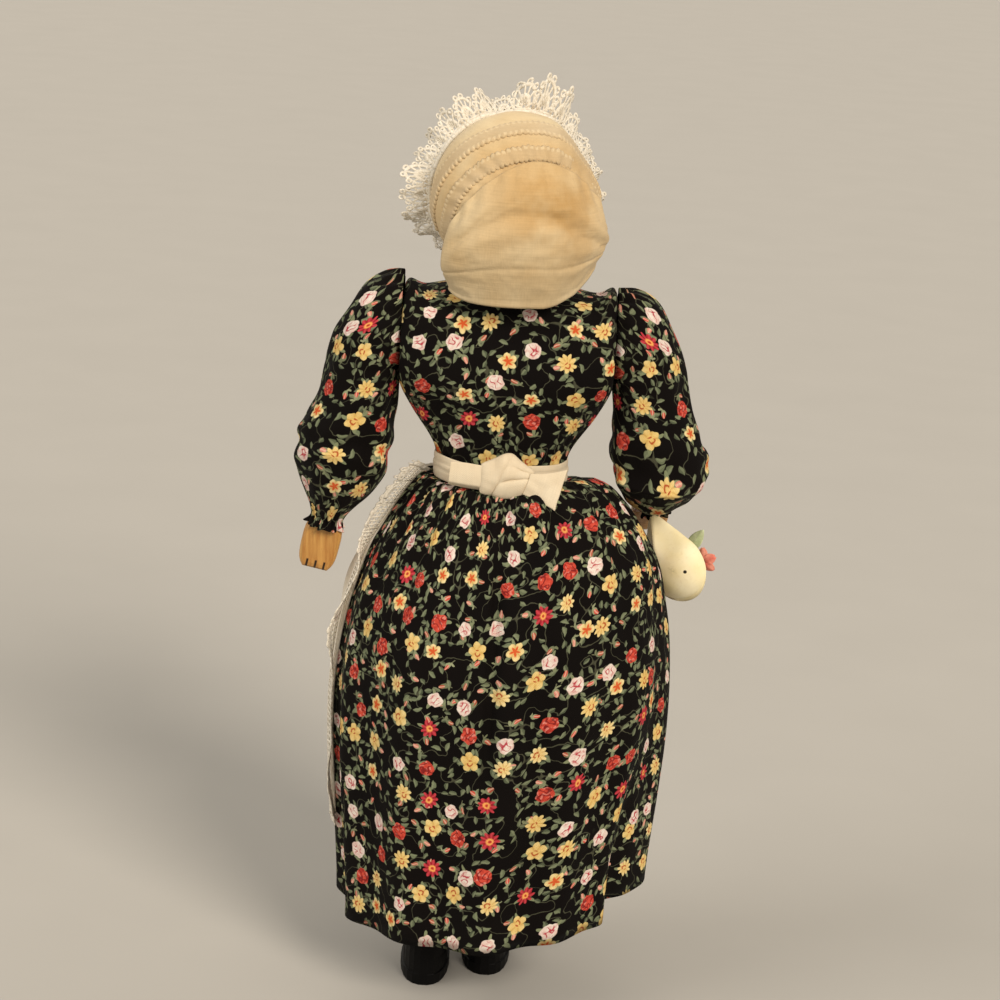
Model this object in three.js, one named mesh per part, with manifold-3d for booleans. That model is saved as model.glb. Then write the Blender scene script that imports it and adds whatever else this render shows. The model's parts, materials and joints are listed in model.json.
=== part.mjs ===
// A walnut-head doll in a flowered calico dress, white apron and lace-edged bonnet, holding a
// small shell basket of flowers. It stands on its own two shoes, turns its head and bends its arms.
// Millimetres, +Z up. The doll faces -Y, so +X is the doll's left side.

import * as THREE from "three";
import { mergeVertices } from "three/addons/utils/BufferGeometryUtils.js";
import Module from "manifold-3d";

const wasm = await Module();
wasm.setup();

// Fits and cloths
const CLEARANCE = 0.3;
const CUT_REACH = 60;
const CALICO_THICKNESS = 0.9;
const MUSLIN_THICKNESS = 0.8;
const LACE_THICKNESS = 0.6;

// Shoes and legs
const SHOE_LENGTH = 27;
const SHOE_WIDTH = 14.5;
const SHOE_HEIGHT = 14;
const SOLE_THICKNESS = 3;
const WELT_STEP = 0.6;
const ANKLE_LENGTH = 14;
const ANKLE_WIDTH = 12;
const SOCKET_DEPTH = 8;
const LEG_RADIUS = 4.5;
const STANCE_WIDTH = 16.8;
const STANCE_SHIFT = 4.4;
const STRIDE = 9;
const HEEL_BACK = 7.5;
const HIP_SPACING = 17;

// Trunk, measured over the dress
const WAIST_HEIGHT = 145;
const SEAT_DROP = 19;
const SEAT_HEIGHT = WAIST_HEIGHT - SEAT_DROP;
const WAIST_HALF_WIDTH = 17;
const WAIST_HALF_DEPTH = 14;
const BODICE_LENGTH = 51;
const NECK_HEIGHT = WAIST_HEIGHT + BODICE_LENGTH;
const CHEST_DROP = 22;
const CHEST_HEIGHT = NECK_HEIGHT - CHEST_DROP;
const ARMHOLE_HALF_SPAN = 28;
const CHEST_OVERHANG = 2;
const CHEST_HALF_WIDTH = ARMHOLE_HALF_SPAN + CHEST_OVERHANG;
const CHEST_HALF_DEPTH = 18;
const SHOULDER_DROP = 12;
const SHOULDER_HEIGHT = NECK_HEIGHT - SHOULDER_DROP;
const SHOULDER_OVERHANG = 2.5;
const SHOULDER_HALF_WIDTH = ARMHOLE_HALF_SPAN + SHOULDER_OVERHANG;
const SHOULDER_HALF_DEPTH = 15;
const SHOULDER_TOP_DROP = 3;
const SHOULDER_SLOPE = 3;
const SHOULDER_TOP_HALF_WIDTH = ARMHOLE_HALF_SPAN - SHOULDER_SLOPE;
const SHOULDER_TOP_HALF_DEPTH = 11;
const NECK_RADIUS = 8.5;
const COLLAR_HEIGHT = 2;
const NECK_PEG_RADIUS = 3.5;
const NECK_PEG_DEPTH = 22;

// Skirt, measured from the doll's middle to the outside of the cloth
const SKIRT_REACH_LEFT = 42.5;
const SKIRT_REACH_BACK = 39;
const SKIRT_REACH_RIGHT = 49.5;
const SKIRT_REACH_FRONT = 36;
const SKIRT_FLARE_DEPTH = 22.6;
const SKIRT_FLARE_DEPTH_RIGHT = 15.7;
const SKIRT_TUCK = 4;
const SKIRT_FOLDS = 12;
const SKIRT_FOLD_DEPTH = 1.5;
const SKIRT_PUFF = 5;
const SKIRT_PUFF_ANGLE = 150;
const HEM_HEIGHT = 26;
const HEM_DIP_LEFT = 3;
const HEM_DIP_BACK = 3.5;

// Apron, sash and knot
const APRON_LEFT_ANGLE = 4;
const APRON_RIGHT_ANGLE = -130;
const APRON_BOTTOM = 46;
const APRON_WAIST_SPREAD = 0.85;
const APRON_STANDOFF = 1.2;
const APRON_LACE_WIDTH = 5;
const APRON_LACE_SCALLOPS = 40;
const SASH_WIDTH = 6.6;
const KNOT_WIDTH = 14;
const KNOT_HEIGHT = 10;
const KNOT_THICKNESS = 3.2;
const KNOT_SIDESTEP = -2;
const SASH_TAIL_LENGTH = 8;
const SASH_TAIL_THICKNESS = 1.6;

// Arms
const SLEEVE_CAP_RISE = 14;
const SLEEVE_TOP_HALF_WIDTH = 10.5;
const SLEEVE_TOP_HALF_DEPTH = 11.5;
const ELBOW_ABOVE_WAIST = 4;
const UPPER_ARM_LENGTH = SHOULDER_HEIGHT - WAIST_HEIGHT - ELBOW_ABOVE_WAIST;
const ELBOW_OUT = 13.8;
const ELBOW_PUFF_RADIUS = 12.6;
const ELBOW_PLAY = 0.7;
const ELBOW_RELIEF = 30;
const FOREARM_LENGTH = 20.5;
const WRIST_RADIUS = 4.3;
const WIRE_RADIUS = 1;
const WIRE_IN_HAND = 6;
const HAND_LENGTH = 14.5;
const HAND_WIDTH = 10.4;
const HAND_THICKNESS = 5;
const FINGER_LENGTH = 2.6;
const FINGER_CUT = 0.5;
const FINGER_CUT_DEPTH = 0.8;
const LEFT_FOREARM_SPLAY = 11;
const LEFT_ELBOW_BEND = 3;
const RIGHT_FOREARM_SPLAY = 0;
const RIGHT_ELBOW_BEND = 48;

// Head
const HEAD_RISE = 22;
const HEAD_HEIGHT = NECK_HEIGHT + HEAD_RISE;
const HEAD_TURN = 15;
const NUT_HALF_WIDTH = 16.5;
const NUT_HALF_DEPTH = 17.5;
const NUT_HALF_HEIGHT = 20.9;
const NUT_SEAM_RIDGE = 1;
const NUT_WRINKLE = 0.35;
const NUT_BORE_DEPTH = 9;
const HAIR_ROLL_RADIUS = 2.5;

// Bonnet
const CROWN_HALF_WIDTH = 22;
const CROWN_HALF_DEPTH = 21.5;
const CROWN_HALF_HEIGHT = NUT_HALF_HEIGHT + CLEARANCE + MUSLIN_THICKNESS;
const CROWN_OPENING = 8;
const CROWN_SKIRT = 17;
const BAND_WIDTH = 4.5;
const BAND_LEAN_ANGLE = 26;
const BAND_END_RISE = 2;
const FRONT_BAND_SETBACK = -1;
const BACK_BAND_SETBACK = 7;
const BONNET_LACE_WIDTH = 8.5;
const BONNET_LACE_RUFFLES = 17;
const BONNET_LACE_WAVE = 1.5;
const CURTAIN_RISE = 12.2;
const CURTAIN_ARCH = 19.5;
const CURTAIN_DROP = 24.2;
const CURTAIN_ROUNDING = 4;
const CURTAIN_SLANT = 10;
const CURTAIN_HALF_ANGLE = 76;
const CURTAIN_BELLY = 1.4;
const CURTAIN_TUCK = 2.6;

// Shell basket and its flowers
const BASKET_RADIUS = 9.6;
const BASKET_TIP = 17;
const BASKET_TIP_ANGLE = 56;
const BASKET_DEPTH = 6.5;
const BASKET_WALL = 1.2;
const BASKET_BELOW_WRIST = 9.36;
const BASKET_OUT = 7.6;
const BASKET_BEHIND_HAND = 14.7;
const BASKET_TURN = 32;
const BASKET_UPRIGHT = 36;
const FLOWER_RADIUS = 3.4;
const FLOWER_THICKNESS = 1.6;
const FLOWER_PETALS = 5;
const MOSS_RISE = 0.8;
const HAND_CORNER = 6;
const LEAF_LENGTH = 9;
const LEAF_WIDTH = 4.4;

const FINISHES = {
  calico: { color: 0x17141a, roughness: 0.9, metalness: 0 },
  muslin: { color: 0xe2c894, roughness: 0.85, metalness: 0 },
  apronCotton: { color: 0xefe6d2, roughness: 0.88, metalness: 0 },
  lace: { color: 0xf3eee2, roughness: 0.9, metalness: 0 },
  nutShell: { color: 0xb0794a, roughness: 0.6, metalness: 0 },
  wool: { color: 0xd9d4cb, roughness: 0.95, metalness: 0 },
  stuffing: { color: 0xe6dcc6, roughness: 0.95, metalness: 0 },
  paleWood: { color: 0xdba368, roughness: 0.55, metalness: 0 },
  blackPaint: { color: 0x141313, roughness: 0.35, metalness: 0 },
  wire: { color: 0x8d8f92, roughness: 0.4, metalness: 1 },
  basketShell: { color: 0xe9d6a4, roughness: 0.5, metalness: 0 },
  moss: { color: 0x7d8b5c, roughness: 0.95, metalness: 0 },
  redPetal: { color: 0xd2574c, roughness: 0.85, metalness: 0 },
  pinkPetal: { color: 0xeab0a5, roughness: 0.85, metalness: 0 },
  yellowPetal: { color: 0xecc75e, roughness: 0.85, metalness: 0 },
  leafGreen: { color: 0xb6c48c, roughness: 0.85, metalness: 0 },
};

const radians = THREE.MathUtils.degToRad;
const smooth = THREE.MathUtils.smoothstep;
const lerp = THREE.MathUtils.lerp;

// One closed mesh from points and triangles, turned so that its faces point outwards.
function closedMesh(points, triangles) {
  let volume = 0;
  const normal = new THREE.Vector3();
  for (let t = 0; t < triangles.length; t += 3) {
    normal.crossVectors(points[triangles[t + 1]], points[triangles[t + 2]]);
    volume += points[triangles[t]].dot(normal);
  }
  const geometry = new THREE.BufferGeometry().setFromPoints(points);
  geometry.setIndex(volume < 0 ? triangles.toReversed() : triangles);
  geometry.computeVertexNormals();
  return geometry;
}

// A sheet with thickness. place(u, v, side) gives the inner face at side 0 and the outer at side 1.
// A wrapped sheet joins up with itself in u.
function sheet(columns, rows, place, wrapped = false) {
  const across = wrapped ? columns : columns + 1;
  const points = [];
  for (const side of [0, 1]) {
    for (let j = 0; j <= rows; j++) {
      for (let i = 0; i < across; i++) points.push(place(i / columns, j / rows, side));
    }
  }
  const at = (i, j, side) => (side * (rows + 1) + j) * across + (i % across);
  const triangles = [];
  const quad = (a, b, c, d) => triangles.push(a, b, c, a, c, d);
  for (let i = 0; i < columns; i++) {
    for (let j = 0; j < rows; j++) {
      quad(at(i, j, 1), at(i + 1, j, 1), at(i + 1, j + 1, 1), at(i, j + 1, 1));
      quad(at(i, j, 0), at(i, j + 1, 0), at(i + 1, j + 1, 0), at(i + 1, j, 0));
    }
    quad(at(i, 0, 0), at(i + 1, 0, 0), at(i + 1, 0, 1), at(i, 0, 1));
    quad(at(i, rows, 1), at(i + 1, rows, 1), at(i + 1, rows, 0), at(i, rows, 0));
  }
  for (let j = 0; j < rows && !wrapped; j++) {
    quad(at(0, j, 0), at(0, j, 1), at(0, j + 1, 1), at(0, j + 1, 0));
    quad(at(columns, j, 1), at(columns, j, 0), at(columns, j + 1, 0), at(columns, j + 1, 1));
  }
  return closedMesh(points, triangles);
}

// A solid skinned over a row of rings of equally many points and capped at both ends.
function loft(rings) {
  const count = rings[0].length;
  const points = rings.flat();
  const triangles = [];
  for (let r = 0; r + 1 < rings.length; r++) {
    for (let i = 0; i < count; i++) {
      const a = r * count + i;
      const b = r * count + ((i + 1) % count);
      triangles.push(a, b, b + count, a, b + count, a + count);
    }
  }
  const cap = (ring, first, flip) => {
    const middle = ring.reduce((sum, p) => sum.add(p), new THREE.Vector3()).divideScalar(count);
    points.push(middle);
    for (let i = 0; i < count; i++) {
      const a = first + i;
      const b = first + ((i + 1) % count);
      triangles.push(points.length - 1, flip ? b : a, flip ? a : b);
    }
  };
  cap(rings[0], 0, true);
  cap(rings.at(-1), (rings.length - 1) * count, false);
  return closedMesh(points, triangles);
}

// A level oval ring round (x, y) at height z.
function ovalRing(x, y, z, halfWidth, halfDepth, segments) {
  return Array.from({ length: segments }, (_, i) => {
    const angle = (i / segments) * 2 * Math.PI;
    return new THREE.Vector3(x + halfWidth * Math.cos(angle), y + halfDepth * Math.sin(angle), z);
  });
}

// Smooth in-between values of stations, each a Vector3 of half width, half depth and height.
function stationsBetween(stations, count) {
  return new THREE.CatmullRomCurve3(stations, false, "centripetal").getPoints(count);
}

function toSolid(geometry) {
  const bare = new THREE.BufferGeometry();
  bare.setAttribute("position", geometry.getAttribute("position").clone());
  bare.setIndex(geometry.index);
  const merged = mergeVertices(bare, 1e-4);
  const vertProperties = Float32Array.from(merged.getAttribute("position").array);
  const triVerts = Uint32Array.from(merged.index.array);
  return new wasm.Manifold(new wasm.Mesh({ numProp: 3, vertProperties, triVerts }));
}

function toGeometry(solid) {
  const { vertProperties, triVerts } = solid.getMesh();
  const geometry = new THREE.BufferGeometry();
  geometry.setAttribute("position", new THREE.BufferAttribute(vertProperties, 3));
  geometry.setIndex(new THREE.BufferAttribute(triVerts, 1));
  geometry.computeVertexNormals();
  return geometry;
}

function cut(geometry, ...tools) {
  return toGeometry(tools.reduce((rest, tool) => rest.subtract(toSolid(tool)), toSolid(geometry)));
}

function join(geometry, ...others) {
  return toGeometry(others.reduce((sum, other) => sum.add(toSolid(other)), toSolid(geometry)));
}

function common(geometry, tool) {
  return toGeometry(toSolid(geometry).intersect(toSolid(tool)));
}

function ellipsoid(halfWidth, halfDepth, halfHeight, around = 22, down = 12) {
  const ball = new THREE.SphereGeometry(1, around, down).rotateX(Math.PI / 2);
  return ball.scale(halfWidth, halfDepth, halfHeight);
}

function block(from, to) {
  const size = to.clone().sub(from);
  const middle = from.clone().add(to).multiplyScalar(0.5);
  return new THREE.BoxGeometry(size.x, size.y, size.z).translate(middle.x, middle.y, middle.z);
}

// All that lies on one side of a plane across an axis: above it for sign 1, below it for sign -1.
function halfSpace(axis, at, sign) {
  const from = new THREE.Vector3(-CUT_REACH, -CUT_REACH, -CUT_REACH);
  const to = from.clone().negate();
  (sign > 0 ? from : to)[axis] = at;
  return block(from, to);
}

// A round rod from one point to another.
function rod(from, to, radius, segments = 14) {
  const axis = to.clone().sub(from);
  const middle = from.clone().add(to).multiplyScalar(0.5);
  const turn = new THREE.Quaternion().setFromUnitVectors(
    new THREE.Vector3(0, 1, 0), axis.clone().normalize());
  return new THREE.CylinderGeometry(radius, radius, axis.length(), segments)
    .applyQuaternion(turn).translate(middle.x, middle.y, middle.z);
}

// A round wire along a curve, with eight sides.
function wireAlong(curve, radius, steps) {
  const section = new THREE.Shape().absarc(0, 0, radius, 0, 2 * Math.PI);
  return new THREE.ExtrudeGeometry(section, { extrudePath: curve, steps, curveSegments: 4 });
}

function piece(name, geometry, finish) {
  const mesh = new THREE.Mesh(geometry, new THREE.MeshStandardMaterial(FINISHES[finish]));
  mesh.name = name;
  return mesh;
}

// Where a foot stands: its heel and the middle of its ankle.
function footPlace(side) {
  const x = STANCE_SHIFT + side * STANCE_WIDTH / 2;
  const heel = HEEL_BACK + side * STRIDE / 2;
  return { x, heel, ankle: heel - ANKLE_LENGTH / 2 };
}

function legRod(side, radius, overrun) {
  const foot = footPlace(side);
  const hip = new THREE.Vector3(side * HIP_SPACING / 2, 0, SEAT_HEIGHT + SOCKET_DEPTH);
  const ankle = new THREE.Vector3(foot.x, foot.ankle, SHOE_HEIGHT - SOCKET_DEPTH);
  const along = hip.clone().sub(ankle).normalize().multiplyScalar(overrun);
  return rod(ankle.sub(along), hip.add(along), radius);
}

// One outline of a shoe, held at the heel: a long oval with squarer toe and narrower heel.
function shoeRing(foot, z, length, width) {
  return Array.from({ length: 22 }, (_, i) => {
    const angle = (i / 22) * 2 * Math.PI;
    const along = Math.sign(Math.sin(angle)) * Math.abs(Math.sin(angle)) ** 0.85;
    const across = Math.sign(Math.cos(angle)) * Math.abs(Math.cos(angle)) ** 0.85;
    const narrowing = 1 - 0.06 * (1 + along);
    return new THREE.Vector3(
      foot.x + across * narrowing * width / 2, foot.heel - length / 2 + along * length / 2, z);
  });
}

function shoe(side) {
  const foot = footPlace(side);
  const vamp = lerp(SOLE_THICKNESS, SHOE_HEIGHT, 0.45);
  const body = loft([
    shoeRing(foot, 0, SHOE_LENGTH - WELT_STEP, SHOE_WIDTH - WELT_STEP),
    shoeRing(foot, WELT_STEP, SHOE_LENGTH, SHOE_WIDTH),
    shoeRing(foot, SOLE_THICKNESS, SHOE_LENGTH, SHOE_WIDTH),
    shoeRing(foot, SOLE_THICKNESS + 0.2, SHOE_LENGTH - WELT_STEP, SHOE_WIDTH - 2 * WELT_STEP),
    shoeRing(foot, vamp, lerp(SHOE_LENGTH, ANKLE_LENGTH, 0.25), SHOE_WIDTH - 2 * WELT_STEP),
    shoeRing(foot, lerp(vamp, SHOE_HEIGHT, 0.45), ANKLE_LENGTH + 2, lerp(SHOE_WIDTH, ANKLE_WIDTH, 0.6)),
    shoeRing(foot, SHOE_HEIGHT, ANKLE_LENGTH, ANKLE_WIDTH),
  ]);
  return cut(body, legRod(side, LEG_RADIUS + CLEARANCE, CLEARANCE));
}

// Half width and half depth of the dressed trunk from waist to neck, at a depth under its surface.
function trunkRings(depth) {
  const stations = [
    new THREE.Vector3(WAIST_HALF_WIDTH, WAIST_HALF_DEPTH, WAIST_HEIGHT),
    new THREE.Vector3(WAIST_HALF_WIDTH, WAIST_HALF_DEPTH, WAIST_HEIGHT + SASH_WIDTH * 0.8),
    new THREE.Vector3(CHEST_HALF_WIDTH, CHEST_HALF_DEPTH, CHEST_HEIGHT),
    new THREE.Vector3(SHOULDER_HALF_WIDTH, SHOULDER_HALF_DEPTH, SHOULDER_HEIGHT),
    new THREE.Vector3(
      SHOULDER_TOP_HALF_WIDTH, SHOULDER_TOP_HALF_DEPTH, NECK_HEIGHT - SHOULDER_TOP_DROP),
    new THREE.Vector3(NECK_RADIUS, NECK_RADIUS, NECK_HEIGHT),
  ];
  return stationsBetween(stations, 9).map(({ x, y, z }) =>
    ovalRing(0, 0, z, x - depth, y - depth, 20));
}

function betweenArmholes(margin) {
  const reach = ARMHOLE_HALF_SPAN - margin;
  return block(
    new THREE.Vector3(-reach, -CUT_REACH, 0),
    new THREE.Vector3(reach, CUT_REACH, NECK_HEIGHT + CUT_REACH));
}

function bodice() {
  const outer = trunkRings(0);
  const inner = trunkRings(CALICO_THICKNESS);
  const segments = outer[0].length;
  const shell = sheet(segments, outer.length - 1, (u, v, side) => {
    const ring = (side ? outer : inner)[Math.round(v * (outer.length - 1))];
    return ring[Math.round(u * segments) % segments];
  }, true);
  return common(shell, betweenArmholes(0));
}

function neckPegEnds() {
  return [NECK_HEIGHT - NECK_PEG_DEPTH, HEAD_HEIGHT - NUT_HALF_HEIGHT + NUT_BORE_DEPTH - CLEARANCE];
}

function neckPeg(radius) {
  const [bottom, top] = neckPegEnds();
  return rod(new THREE.Vector3(0, 0, bottom), new THREE.Vector3(0, 0, top), radius);
}

function shoulderWire(radius) {
  const end = new THREE.Vector3(ARMHOLE_HALF_SPAN, 0, SHOULDER_HEIGHT);
  return rod(end.clone().setX(-end.x), end, radius, 8);
}

// The stuffed trunk under the dress: seat, waist and chest, bored for the legs, peg and wire.
function torsoCore() {
  const depth = CALICO_THICKNESS + CLEARANCE;
  const hips = stationsBetween([
    new THREE.Vector3(WAIST_HALF_WIDTH - 5, WAIST_HALF_DEPTH - 4, SEAT_HEIGHT),
    new THREE.Vector3(WAIST_HALF_WIDTH, WAIST_HALF_DEPTH, SEAT_HEIGHT + 4),
    new THREE.Vector3(WAIST_HALF_WIDTH, WAIST_HALF_DEPTH, WAIST_HEIGHT - 3),
  ], 3).map(({ x, y, z }) => ovalRing(0, 0, z, x - depth, y - depth, 20));
  const body = loft([...hips, ...trunkRings(depth).slice(0, -1)]);
  const bores = [-1, 1].map((side) => legRod(side, LEG_RADIUS + CLEARANCE, CLEARANCE));
  const pegBore = rod(
    new THREE.Vector3(0, 0, neckPegEnds()[0] - CLEARANCE),
    new THREE.Vector3(0, 0, NECK_HEIGHT + 5), NECK_PEG_RADIUS + CLEARANCE);
  const bored = cut(body, pegBore, shoulderWire(WIRE_RADIUS + CLEARANCE), ...bores);
  return common(bored, betweenArmholes(CLEARANCE));
}

// The peg is cross-bored so that the shoulder wire runs through it.
function boredPeg() {
  return cut(neckPeg(NECK_PEG_RADIUS), shoulderWire(WIRE_RADIUS + CLEARANCE));
}

function collar() {
  const inner = NECK_RADIUS - CALICO_THICKNESS;
  return sheet(24, 1, (u, v, side) => {
    const angle = u * 2 * Math.PI;
    const radius = inner + side * CALICO_THICKNESS;
    const z = NECK_HEIGHT + CLEARANCE + v * COLLAR_HEIGHT;
    return new THREE.Vector3(radius * Math.cos(angle), radius * Math.sin(angle), z);
  }, true);
}

// How far the skirt stands out towards an angle, at a share of its drop from waist to hem.
function skirtReach(angle, drop) {
  const across = Math.cos(angle) > 0 ? SKIRT_REACH_LEFT : SKIRT_REACH_RIGHT;
  const deep = Math.sin(angle) > 0 ? SKIRT_REACH_BACK : SKIRT_REACH_FRONT;
  const rightwards = smooth(-Math.cos(angle), 0, 1);
  const flareDepth = lerp(SKIRT_FLARE_DEPTH, SKIRT_FLARE_DEPTH_RIGHT, rightwards);
  const roundness = (sashBottom() - CLEARANCE - hemHeight(angle)) / flareDepth;
  const fullness = 1 - (1 - drop) ** roundness;
  const tuck = SKIRT_TUCK * smooth(drop, 0.45, 1);
  return {
    x: lerp(WAIST_HALF_WIDTH, across, fullness) - tuck,
    y: lerp(WAIST_HALF_DEPTH, deep, fullness),
  };
}

function hemHeight(angle) {
  return HEM_HEIGHT - HEM_DIP_LEFT * Math.cos(angle) - HEM_DIP_BACK * Math.sin(angle);
}

// The sash covers the lower edge of the bodice, and the skirt hangs from just under the sash.
function sashBottom() {
  return WAIST_HEIGHT - SASH_WIDTH * 0.3;
}

// A point at a distance off the unfolded skirt, positive outwards.
function skirtPoint(angle, drop, distance) {
  const top = sashBottom() - CLEARANCE;
  const reach = skirtReach(angle, drop);
  return new THREE.Vector3(
    (reach.x + distance) * Math.cos(angle),
    (reach.y + distance) * Math.sin(angle),
    lerp(top, hemHeight(angle), drop));
}

// The height of the folds, dying out towards the waist where the skirt is gathered flat.
function foldDepth(angle, drop) {
  const wave = Math.cos(SKIRT_FOLDS * angle + 0.9 * Math.sin(3 * angle));
  return SKIRT_FOLD_DEPTH * smooth(drop, 0.05, 0.7) * wave;
}

// The gathers stand out under the sash behind the right hip.
function puffDepth(angle, drop) {
  const towards = Math.max(Math.cos(angle - radians(SKIRT_PUFF_ANGLE)), 0) ** 4;
  return SKIRT_PUFF * towards * smooth(drop, 0, 0.04) * (1 - smooth(drop, 0.06, 0.3));
}

function skirt() {
  return sheet(60, 8, (u, v, side) => {
    const angle = u * 2 * Math.PI;
    const drop = v ** 1.6;
    const inward = (side - 1) * CALICO_THICKNESS;
    const folds = foldDepth(angle, drop) - SKIRT_FOLD_DEPTH * drop + puffDepth(angle, drop);
    return skirtPoint(angle, drop, folds + inward);
  }, true);
}

// Share of the skirt's drop at which a height is reached.
function dropAt(height, angle) {
  const top = sashBottom() - CLEARANCE;
  return (top - height) / (top - hemHeight(angle));
}

// A point of the apron: across runs from its right edge to its left one, down from waist to hem.
function apronPoint(across, down, distance) {
  const drop = Math.max(down, 0) ** 1.6;
  const spread = lerp(APRON_WAIST_SPREAD, 1, smooth(drop, 0, 0.35));
  const middle = radians(lerp(APRON_RIGHT_ANGLE, APRON_LEFT_ANGLE, 0.5));
  const half = radians(APRON_LEFT_ANGLE - APRON_RIGHT_ANGLE) / 2;
  const angle = middle + (across * 2 - 1) * half * spread;
  return skirtPoint(angle, drop * dropAt(APRON_BOTTOM, angle), APRON_STANDOFF + distance);
}

function apronPanel() {
  return sheet(20, 8, (u, v, side) => apronPoint(u, v, side * MUSLIN_THICKNESS));
}

// Lace sewn on the face of the apron along its sides and foot, standing out past the edge.
function apronLace() {
  const side = APRON_LACE_SCALLOPS * 0.3;
  const foot = APRON_LACE_SCALLOPS - 2 * side;
  const width = APRON_LACE_WIDTH / (SKIRT_REACH_FRONT + SKIRT_REACH_LEFT);
  return sheet(APRON_LACE_SCALLOPS * 2, 1, (u, v, face) => {
    const count = u * APRON_LACE_SCALLOPS;
    const scallop = 0.8 + 0.2 * Math.abs(Math.sin(count * Math.PI));
    const out = lerp(-0.4, 0.6 * scallop, v) * width;
    const across = THREE.MathUtils.clamp((count - side) / foot, 0, 1);
    const down = Math.min(count, APRON_LACE_SCALLOPS - count, side) / side;
    const sideways = smooth(Math.abs(across - 0.5), 0.44, 0.5) * Math.sign(across - 0.5);
    const downwards = smooth(down, 0.9, 1);
    return apronPoint(
      across + sideways * out, down + downwards * out * 0.6,
      MUSLIN_THICKNESS + CLEARANCE + face * LACE_THICKNESS);
  });
}

function sashRadii(distance) {
  const off = CLEARANCE + distance;
  return { x: WAIST_HALF_WIDTH + off, y: WAIST_HALF_DEPTH + off };
}

function sashBand() {
  return sheet(40, 1, (u, v, side) => {
    const angle = u * 2 * Math.PI;
    const radii = sashRadii(side * MUSLIN_THICKNESS + CLEARANCE);
    const z = sashBottom() + SASH_WIDTH * v;
    return new THREE.Vector3(radii.x * Math.cos(angle), radii.y * Math.sin(angle), z);
  }, true);
}

// Places a flat outline drawn in x and z on the back of the sash, with its thickness outwards.
function onSashBack(outline, thickness, x) {
  const bevel = thickness * 0.3;
  const slab = new THREE.ExtrudeGeometry(outline, {
    depth: thickness - 2 * bevel,
    bevelEnabled: true,
    bevelThickness: bevel,
    bevelSize: bevel,
    bevelOffset: -bevel,
    bevelSegments: 2,
    curveSegments: 5,
  });
  const back = sashRadii(MUSLIN_THICKNESS + 2 * CLEARANCE).y;
  return slab.rotateX(Math.PI / 2)
    .translate(x, back + thickness - bevel, sashBottom() + SASH_WIDTH / 2);
}

function knot() {
  const w = KNOT_WIDTH / 2;
  const h = KNOT_HEIGHT / 2;
  const outline = new THREE.Shape();
  outline.moveTo(-w, 0);
  outline.quadraticCurveTo(-w * 0.4, -h, 0, -h);
  outline.quadraticCurveTo(w * 0.6, -h, w, 0);
  outline.quadraticCurveTo(w * 0.4, h, 0, h);
  outline.quadraticCurveTo(-w * 0.6, h, -w, 0);
  return onSashBack(outline, KNOT_THICKNESS, KNOT_SIDESTEP);
}

// A short folded tail of the sash beside the knot, clear of the knot's rounded side.
function sashTail(side) {
  const start = KNOT_WIDTH / 2 + CLEARANCE;
  const end = start + SASH_TAIL_LENGTH;
  const half = SASH_WIDTH / 2;
  const outline = new THREE.Shape();
  outline.moveTo(side * start, -half * 0.7);
  outline.lineTo(side * end, -half);
  outline.lineTo(side * end, half);
  outline.lineTo(side * start, half * 0.7);
  outline.closePath();
  return onSashBack(outline, SASH_TAIL_THICKNESS, KNOT_SIDESTEP);
}

function elbowPlace(side) {
  return new THREE.Vector3(side * ELBOW_OUT, 0, -UPPER_ARM_LENGTH);
}

// The round puff of the sleeve at the elbow, about which the forearm turns.
function elbowBall(grow) {
  const radius = ELBOW_PUFF_RADIUS + grow;
  return ellipsoid(radius, radius, radius, 18, 10);
}

// The wire of the upper arm, out of the armhole and down to the elbow.
function upperArmCurve(side) {
  const elbow = elbowPlace(side);
  const stop = ELBOW_PUFF_RADIUS + ELBOW_PLAY + CLEARANCE;
  return new THREE.CatmullRomCurve3([
    new THREE.Vector3(side * 2 * CLEARANCE, 0, 0),
    new THREE.Vector3(side * ELBOW_OUT * 0.55, 0, -3),
    elbow.clone().setZ(elbow.z + stop + 8),
    elbow.clone().setZ(elbow.z + stop),
  ]);
}

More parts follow.
